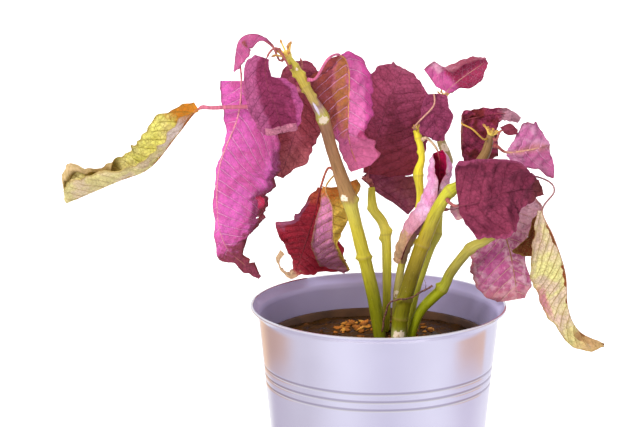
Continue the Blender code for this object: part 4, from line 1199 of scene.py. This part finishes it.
def flower(name, stem_name, prongs, spread, height, seed):
    """A few dried cups on a stem tip, each ending in split, curled points."""
    draw = random.Random(seed)
    curve = STEM_CURVES[stem_name][0]
    tip = curve[-1].to_3d()
    lean = Vector((0, 0, 1)).rotation_difference((tip - curve[-6].to_3d()).normalized())
    made = Build("along", "flat")
    for i in range(prongs):
        turn = 2 * math.pi * (i + draw.uniform(-0.25, 0.25)) / prongs
        out = Vector((math.cos(turn), math.sin(turn), 0))
        reach = spread * draw.uniform(0.6, 1.1)
        rise = height * draw.uniform(0.6, 1.1)
        bend = draw.uniform(-0.2, 0.5)
        thick = draw.uniform(0.55, 0.9)
        knots = [out * 0.5 + Vector((0, 0, -1.0))]
        for way, up in ((0.45, 0.35), (0.85, 0.75), (1.0 + bend, 1.0)):
            knots.append(out * reach * way + Vector((0, 0, rise * up)))
        route, _ = smooth([tip + lean @ knot for knot in knots], 5)
        shares = [k / (len(route) - 1) for k in range(len(route))]
        radii = []
        for share in shares:
            knob = 0.75 * math.exp(-(((share - 0.86) / 0.11) ** 2))
            radii.append(max(0.15, thick * (0.9 - 0.4 * share + knob) * math.sqrt(1.02 - share**6)))
        notes = [dict(along=share, flat=(share, turn, seed)) for share in shares]
        made.tube(route, radii, CUP_SIDES, notes)
    # the pale heart between the cups
    knots = [(0, 0, -1.2), (0, 0, 0.6), (0.3, 0, height * 0.35), (0.2, 0.3, height * 0.6)]
    route, _ = smooth([tip + lean @ Vector(knot) for knot in knots], 4)
    radii = []
    notes = []
    for k in range(len(route)):
        bulge = 1 - (2 * k / (len(route) - 1) - 0.9) ** 2 / 1.3
        radii.append(spread * 0.42 * math.sqrt(max(0.03, bulge)))
        notes.append(dict(along=0.1 + 0.3 * k / len(route), flat=(k, 2.0, seed)))
    made.tube(route, radii, HEART_SIDES, notes)
    made.make(name + "_cups", [GOLD], name)


flower("flower_a", "stem_a", 11, 6.4, 7.6, 11)
flower("flower_c", "stem_c", 5, 2.6, 3.4, 12)
flower("flower_d", "stem_d", 9, 4.8, 4.8, 13)
flower("flower_e", "stem_e", 8, 4.0, 4.8, 14)

TENDRIL = [(2, -9, -15), (4, -11, -2), (8, -13, 5), (18, -14, 7), (25, -10, 10), (31, -9, 13)]
TENDRIL_HAIR = [(27, -9, 11), (27, -10, 15), (25, -10, 19)]


def tendril():
    g = Graph("dried_tendril_bark")
    grain = g.noise(g.attribute("flat", "Vector"), 8.0, 4.0)
    stops = [(0.35, (0.05, 0.02, 0.015)), (0.6, (0.16, 0.06, 0.04)), (0.75, (0.30, 0.14, 0.08))]
    g.surface(g.ramp(grain, stops), 0.6, g.bump(grain, 0.8, 0.0005))
    made = Build("flat")
    route, _ = smooth([Vector(point) for point in TENDRIL], 10)
    route = [point + noise.noise_vector(point * 0.4) * 0.45 for point in route]
    radii = [0.55 + 0.3 * noise.noise(point * 0.8) for point in route]
    made.tube(route, radii, 8, [dict(flat=tuple(point / 5)) for point in route])
    route, _ = smooth([Vector(point) for point in TENDRIL_HAIR], 6)
    radii = [0.22 - 0.012 * k for k in range(len(route))]
    made.tube(route, radii, 6, [dict(flat=tuple(point)) for point in route])
    made.make("dried_tendril_wisp", [g.material], "dried_tendril")


tendril()


# Pots

WALL_RADIUS = 70.3
WALL_TAPER = math.tan(math.radians(6.0))
SHEET = 0.8
HEM_RADIUS = 0.85
FLARE_HEIGHT = 5.5
GROOVE_DEPTHS = (35.0, 40.0, 45.0)
GROOVE_WIDTH = 2.8
GROOVE_SINK = 0.5
GROOVE_STEPS = 44
POT_SIDES = 192
NURSERY_SIDES = 144
BURR_ANGLE = math.radians(-102)
NURSERY_FOOT_RADIUS = 46.0


def lathe(profile, sides, inside=0, shape=None):
    """A turned surface from (radius, height) points that start and end on the axis.

    The first bands, as many as inside says, take the second material.
    """
    made = Build("groove")
    rings = []
    for radius, height in profile:
        ring = []
        for turn in turns(sides if radius else 1):
            more, rise = shape(turn, radius, height) if shape else (0.0, 0.0)
            far = radius + more
            place = Vector((far * math.sin(turn), -far * math.cos(turn), height + rise))
            ring.append(made.point(place, groove=groove_at(-height) / GROOVE_SINK))
        rings.append(ring)
    made.loft(rings, [1] * inside + [0] * (len(profile) - inside))
    return made


def wall_radius(below):
    return WALL_RADIUS - (below - FLARE_HEIGHT) * WALL_TAPER


def groove_at(below):
    sink = 0.0
    for depth in GROOVE_DEPTHS:
        far = abs(below - depth) / (GROOVE_WIDTH / 2)
        if far < 1:
            sink = max(sink, GROOVE_SINK * (0.5 + 0.5 * math.cos(math.pi * far)))
    return sink


def wall_depths():
    """Depths below the rim where the wall gets a ring: close together across the grooves."""
    depths = [FLARE_HEIGHT + 3 + i * 6.5 for i in range(4)]
    first, last = GROOVE_DEPTHS[0] - GROOVE_WIDTH, GROOVE_DEPTHS[-1] + GROOVE_WIDTH
    depths += [first + (last - first) * i / GROOVE_STEPS for i in range(GROOVE_STEPS + 1)]
    return depths + [56, 70, 90, 110, 125]


def metal_material(name, roughness, light, shade, metallic):
    """Thin galvanised sheet. light and shade are its two cloudy tones; the grooves are painted darker, a
    painted shade in them.
    """
    g = Graph(name)
    place = g.place()
    cloud = g.noise(place, 14.0, 3.0)
    brushed = g.noise(g.scaled(place, (3.0, 3.0, 260.0)), 2.0, 3.0)
    scuffed = g.rise(g.noise(place, 420.0), 0.72, 0.80)
    colour = g.ramp(cloud, [(0.3, shade), (0.7, light)])
    colour = g.mix(g.times(scuffed, 0.25), colour, (0.55, 0.53, 0.60))
    # painted shade: the grooves are darkened by their depth
    colour = g.mix(g.times(g.rise(g.attribute("groove"), 0.0, 0.9), 0.8), colour, (0.42, 0.38, 0.47))
    rough = g.plus(g.times(cloud, 0.08), g.plus(g.times(brushed, 0.05), roughness - 0.06))
    normal = g.bump(g.plus(g.times(cloud, 1.0), g.times(brushed, 0.02)), 0.10, 0.004)
    return g.surface(colour, rough, normal, Metallic=metallic)


def burr(turn, radius, height):
    """A small dent in the hem at one side of the rim."""
    if height < -2.5 or radius < RIM_RADIUS - 2.5:
        return 0.0, 0.0
    far = math.remainder(turn - BURR_ANGLE, 2 * math.pi) * RIM_RADIUS
    amount = math.exp(-((far / 1.6) ** 2))
    return 0.9 * amount, -1.1 * amount


def metal_pot():
    floor = SHEET - RIM_HEIGHT
    inside = [
        (0, floor), (50, floor), (wall_radius(RIM_HEIGHT - 1.5) - 3.2, floor),
        (wall_radius(RIM_HEIGHT - 3.0) - SHEET, 3.0 - RIM_HEIGHT),
    ]
    for below in reversed(wall_depths()):
        inside.append((wall_radius(below) - 0.4 * groove_at(below) - SHEET, -below))
    inside += [
        (WALL_RADIUS - SHEET, -FLARE_HEIGHT), (WALL_RADIUS + 0.2, -4.4), (WALL_RADIUS + 1.6, -3.0),
        (RIM_RADIUS - 2.2, -1.7),
    ]
    outside = []
    for step in range(11):
        turn = math.radians(150 - step * 26)
        outside.append(
            (RIM_RADIUS - HEM_RADIUS + HEM_RADIUS * math.cos(turn), -HEM_RADIUS + HEM_RADIUS * math.sin(turn))
        )
    outside += [
        (RIM_RADIUS - 1.9, -2.1), (RIM_RADIUS - 2.6, -2.9), (WALL_RADIUS + 0.9, -4.1),
        (WALL_RADIUS + 0.3, -4.8), (WALL_RADIUS, -FLARE_HEIGHT - 0.3),
    ]
    outside += [(wall_radius(below) - groove_at(below), -below) for below in wall_depths()]
    outside += [
        (wall_radius(RIM_HEIGHT - 2.0), 2.0 - RIM_HEIGHT),
        (wall_radius(RIM_HEIGHT - 0.6) - 0.4, 0.6 - RIM_HEIGHT),
        (wall_radius(RIM_HEIGHT) - 1.5, -RIM_HEIGHT), (40, -RIM_HEIGHT), (0, -RIM_HEIGHT),
    ]
    materials = [
        metal_material("pot_outside", 0.17, (0.83, 0.81, 0.89), (0.76, 0.74, 0.82), 1.0),
        # painted shade: the inside takes darker copies of the sheet's tones
        metal_material("pot_inside_painted_shade", 0.5, (0.52, 0.47, 0.72), (0.44, 0.39, 0.62), 0.45),
    ]
    lathe(inside + outside, POT_SIDES, len(inside), burr).make("metal_pot_sheet", materials, "metal_pot")


def nursery_pot():
    g = Graph("nursery_plastic")
    dust = g.noise(g.place(), 60.0, 4.0)
    colour = g.ramp(dust, [(0.35, (0.050, 0.022, 0.010)), (0.65, (0.095, 0.042, 0.018))])
    g.surface(colour, g.plus(g.times(dust, 0.2), 0.35), g.bump(dust, 0.3, 0.0005), Specular_IOR_Level=0.25)
    slope = (NURSERY_LIP_RADIUS - 1.2 - NURSERY_FOOT_RADIUS) / (NURSERY_TOP + RIM_HEIGHT)
    floor = 1.3 - RIM_HEIGHT
    top = NURSERY_TOP
    # (height on the sloping wall, distance out from it, height)
    wall = [
        (floor, -1.4, floor + 1.0), (top - 8, -1.0, top - 8), (top, -1.0, top - 0.6), (top, -0.5, top),
        (top, 0.8, top), (top, 1.2, top - 0.5), (top, 1.2, top - 3.6), (top, 0.6, top - 4.0),
        (top - 4, 0.1, top - 4.1), (floor, -0.4, floor),
    ]
    profile = [(NURSERY_FOOT_RADIUS + slope * (at + RIM_HEIGHT) + out, height) for at, out, height in wall]
    pot = lathe([(0, floor + 1.0), *profile, (0, floor)], NURSERY_SIDES)
    pot.make("nursery_pot_shell", [g.material], "nursery_pot")


metal_pot()
nursery_pot()


# Soil and litter

SOIL_RADIUS = 63.0
SOIL_EDGE = -23.5
SOIL_RINGS = 62
SOIL_SIDES = 150


def soil_height(x, y):
    height = SOIL_CROWN - 0.6 + (SOIL_EDGE - SOIL_CROWN) * step_up(math.hypot(x, y), 22.0, 62.0)
    place = Vector((x, y, 3.0))
    return height + 1.3 * noise.noise(place * 0.07) + 0.5 * noise.noise(place * 0.22)


def soil_material():
    g = Graph("wet_peat")
    place = g.place()
    lumps = g.noise(place, 160.0, 5.0, 0.65)
    crumbs = g.cells(place, 620.0, "F1")
    stops = [(0.35, (0.018, 0.007, 0.001)), (0.55, (0.045, 0.018, 0.003)), (0.75, (0.10, 0.040, 0.008))]
    speck = g.rise(g.noise(place, 900.0), 0.70, 0.76)
    colour = g.mix(g.times(speck, 0.5), g.ramp(lumps, stops), (0.26, 0.11, 0.03))
    normal = g.bump(g.plus(lumps, g.times(crumbs, -0.4)), 0.5, 0.0008)
    return g.surface(colour, g.rise(lumps, 0.2, 0.7, 0.85), normal, Specular_IOR_Level=0.05)


def soil():
    made = Build()
    foot = 3.0 - RIM_HEIGHT
    rings = [[made.point(Vector((0, 0, soil_height(0, 0))))]]
    for i in range(1, SOIL_RINGS + 1):
        radius = SOIL_RADIUS * (i / SOIL_RINGS)
        ring = []
        for turn in turns(SOIL_SIDES):
            x, y = radius * math.sin(turn), -radius * math.cos(turn)
            grain = 0.45 * noise.noise(Vector((x, y, 9.0)) * 0.8)
            grain += 0.3 * noise.noise(Vector((x, y, 2.0)) * 1.9)
            ring.append(made.point(Vector((x, y, soil_height(x, y) + grain))))
        rings.append(ring)
    edge = [made.points[k] for k in rings[-1]]
    rings.append([made.point(Vector((point.x * 0.78, point.y * 0.78, foot))) for point in edge])
    rings.append([made.point(Vector((0, 0, foot)))])
    made.loft(rings, turned=True)
    made.make("soil_peat", [soil_material()], "soil")


def litter_material():
    g = Graph("dry_litter")
    grain = g.noise(g.attribute("flat", "Vector"), 6.0, 4.0)
    stops = [
        (0.0, (0.06, 0.022, 0.008)), (0.3, (0.20, 0.07, 0.015)), (0.55, (0.40, 0.13, 0.02)),
        (0.78, (0.52, 0.24, 0.04)), (1.0, (0.42, 0.38, 0.04)),
    ]
    colour = g.ramp(g.shaken(g.attribute("tint"), grain, 0.35), stops)
    return g.surface(colour, 0.8, g.bump(grain, 0.7, 0.0006), Specular_IOR_Level=0.1)


LITTER_SEED = 5
FLAKE_RINGS = 6
FLAKE_SIDES = 9
# Litter: centre x, y, spread x, y, count, smallest, largest, tint from, to
LITTER = [
    (-13, 16, 10, 12, 34, 1.2, 3.6, 0.35, 0.8), (22, 10, 10, 10, 16, 1.0, 2.8, 0.3, 0.7),
    (-46, 0, 7, 12, 22, 0.9, 2.4, 0.6, 1.0), (0, 0, 45, 45, 70, 0.6, 1.8, 0.0, 0.5),
    (2, -14, 16, 8, 26, 0.9, 2.6, 0.25, 0.7),
]


def flake(made, draw, x, y, size, tint):
    """One bit of bark or dead leaf: a flat, rough, bent pebble."""
    turn = Matrix.Rotation(draw.uniform(0, 6.28), 3, "Z") @ Matrix.Rotation(draw.uniform(-0.5, 0.5), 3, "X")
    shape = Vector((size, size * draw.uniform(0.4, 0.8), size * draw.uniform(0.2, 0.45)))
    where = Vector((x, y, soil_height(x, y) + shape.z * 0.6))
    shift = Vector((draw.uniform(0, 50), 0, 0))
    rings = []
    for i in range(1, FLAKE_RINGS):
        lift = math.pi * i / FLAKE_RINGS
        ring = []
        for turn_round in turns(FLAKE_SIDES):
            across = math.sin(lift)
            way = Vector((across * math.cos(turn_round), across * math.sin(turn_round), math.cos(lift)))
            local = way * shape * (1.0 + 0.55 * noise.noise(way * 1.6 + shift))
            local.z += 0.12 * local.x * local.x / size
            ring.append(made.point(where + turn @ local, tint=tint, flat=tuple(local + shift)))
        rings.append(ring)
    made.loft(rings, turned=True)


def litter():
    draw = random.Random(LITTER_SEED)
    made = Build("tint", "flat")
    for x0, y0, spread_x, spread_y, count, small, large, tint_low, tint_high in LITTER:
        for _ in range(count):
            x = x0 + draw.gauss(0, 0.6) * spread_x
            y = y0 + draw.gauss(0, 0.6) * spread_y
            if math.hypot(x, y) <= SOIL_RADIUS - 4:
                flake(made, draw, x, y, draw.uniform(small, large), draw.uniform(tint_low, tint_high))
    made.make("soil_litter", [litter_material()])


soil()
litter()


# Studio, in metres

FLOOR_SIZE = 20.0
REFLECTOR_SIDES = 96
REFLECTOR_RADII = (0.075, 4.0)
REFLECTOR_LIFT = 0.0005
LENS = 154.1
PITCH = math.radians(13.1)
DISTANCE = 1.6  # from the camera to the plane through the rim's middle
AIM_ACROSS, AIM_UP = -0.03416, 0.05256  # the middle of the view, from the rim's middle


def floor():
    g = Graph("studio_floor")
    flat = g.scaled(g.node("NewGeometry", "Position", {}), (1.0, 1.0, 0.0))
    far = g.node("VectorMath", "Value", {0: flat}, operation="LENGTH")
    # painted shade round the pot: the floor is darker and lavender near it, pale beyond half a metre
    g.surface(g.mix(g.rise(far, 0.10, 0.50), (0.78, 0.76, 0.84), (0.96, 0.96, 0.97)), 0.9)
    corners = [(x * FLOOR_SIZE, y * FLOOR_SIZE, 0) for x, y in ((-1, -1), (1, -1), (1, 1), (-1, 1))]
    mesh_object("studio_floor", corners, [(0, 1, 2, 3)], [g.material])


def reflector():
    """A ring of light on the floor that only reflections show: pale, with darker and warm stretches."""
    g = Graph("studio_reflector")
    parts = g.tree.nodes.new("ShaderNodeSeparateXYZ")
    g.plug(parts.inputs[0], g.node("NewGeometry", "Position", {}))
    x, y = parts.outputs["X"], parts.outputs["Y"]
    angle = g.math("ARCTAN2", x, g.times(y, -1.0))  # 0 at the show side, growing towards +X
    share = g.math("MULTIPLY_ADD", angle, 1 / (2 * math.pi), 0.5)
    far = g.math("SQRT", g.plus(g.times(x, x), g.times(y, y)))
    bands = [
        (-180, (1.0, 0.99, 1.02)), (-150, (1.0, 0.99, 1.02)), (-122, (0.62, 0.58, 0.70)),
        (-75, (0.74, 0.71, 0.82)), (-30, (0.95, 0.94, 1.08)), (8, (0.80, 0.78, 0.94)),
        (52, (0.95, 0.94, 1.08)), (94, (0.78, 0.74, 0.90)), (135, (0.90, 0.88, 1.0)),
        (160, (1.05, 1.04, 1.06)), (180, (1.05, 1.04, 1.06)),
    ]
    pale = g.ramp(share, [(degrees / 360 + 0.5, tint) for degrees, tint in bands])
    warm = g.mix(1.0, pale, (1.02, 0.74, 0.52), "MULTIPLY")

    def stretch(*degrees):
        start, full, fading, end = (math.radians(number) for number in degrees)
        return g.times(g.rise(angle, start, full), g.rise(angle, end, fading))

    sides = g.plus(stretch(-160, -148, -104, -76), stretch(66, 84, 116, 119))
    patch = g.times(g.rise(far, 0.27, 0.33), sides)
    g.finish("Emission", {"Color": g.mix(patch, pale, warm), "Strength": 1.0})
    points = [
        (radius * math.sin(turn), -radius * math.cos(turn), REFLECTOR_LIFT)
        for radius in REFLECTOR_RADII for turn in turns(REFLECTOR_SIDES)
    ]
    faces = []
    for k in range(REFLECTOR_SIDES):
        after = (k + 1) % REFLECTOR_SIDES
        faces.append((k, after, REFLECTOR_SIDES + after, REFLECTOR_SIDES + k))
    made = mesh_object("studio_reflector", points, faces, [g.material])
    made.visible_camera = made.visible_diffuse = made.visible_shadow = made.visible_transmission = False


def lamp(name, place, target, size, power, colour):
    data = bpy.data.lights.new(name, "AREA")
    data.shape = "DISK"
    data.size = size
    data.energy = power
    data.color = colour
    made = bpy.data.objects.new(name, data)
    made.location = place
    made.rotation_euler = (Vector(target) - Vector(place)).to_track_quat("-Z", "Y").to_euler()
    made.visible_glossy = False
    bpy.context.scene.collection.objects.link(made)


def studio():
    floor()
    reflector()
    world = bpy.data.worlds.new("studio_world")
    world.use_nodes = True
    background = world.node_tree.nodes["Background"]
    background.inputs["Color"].default_value = (1.0, 0.99, 1.0, 1.0)
    background.inputs["Strength"].default_value = 0.95
    bpy.context.scene.world = world
    lamp("key", (-1.3, -1.6, 1.5), (0, 0, 0.18), 0.8, 54, (1.0, 0.99, 0.97))
    lamp("back", (0.6, 1.8, 1.6), (0, 0, 0.2), 1.2, 42, (1.0, 0.99, 0.98))
    bpy.context.scene.view_settings.view_transform = "Standard"


def camera():
    """On the show side, above the horizon, and a little left of the pot's middle."""
    data = bpy.data.cameras.new("camera")
    data.lens = LENS
    data.clip_end = 50
    made = bpy.data.objects.new("camera", data)
    ahead = Vector((0, math.cos(PITCH), -math.sin(PITCH)))
    upward = Vector((0, math.sin(PITCH), math.cos(PITCH)))
    made.location = Vector((AIM_ACROSS, 0, RIM_HEIGHT * MM)) - ahead * DISTANCE + upward * AIM_UP
    made.rotation_euler = (math.pi / 2 - PITCH, 0, 0)
    bpy.context.scene.collection.objects.link(made)
    bpy.context.scene.camera = made


studio()
camera()
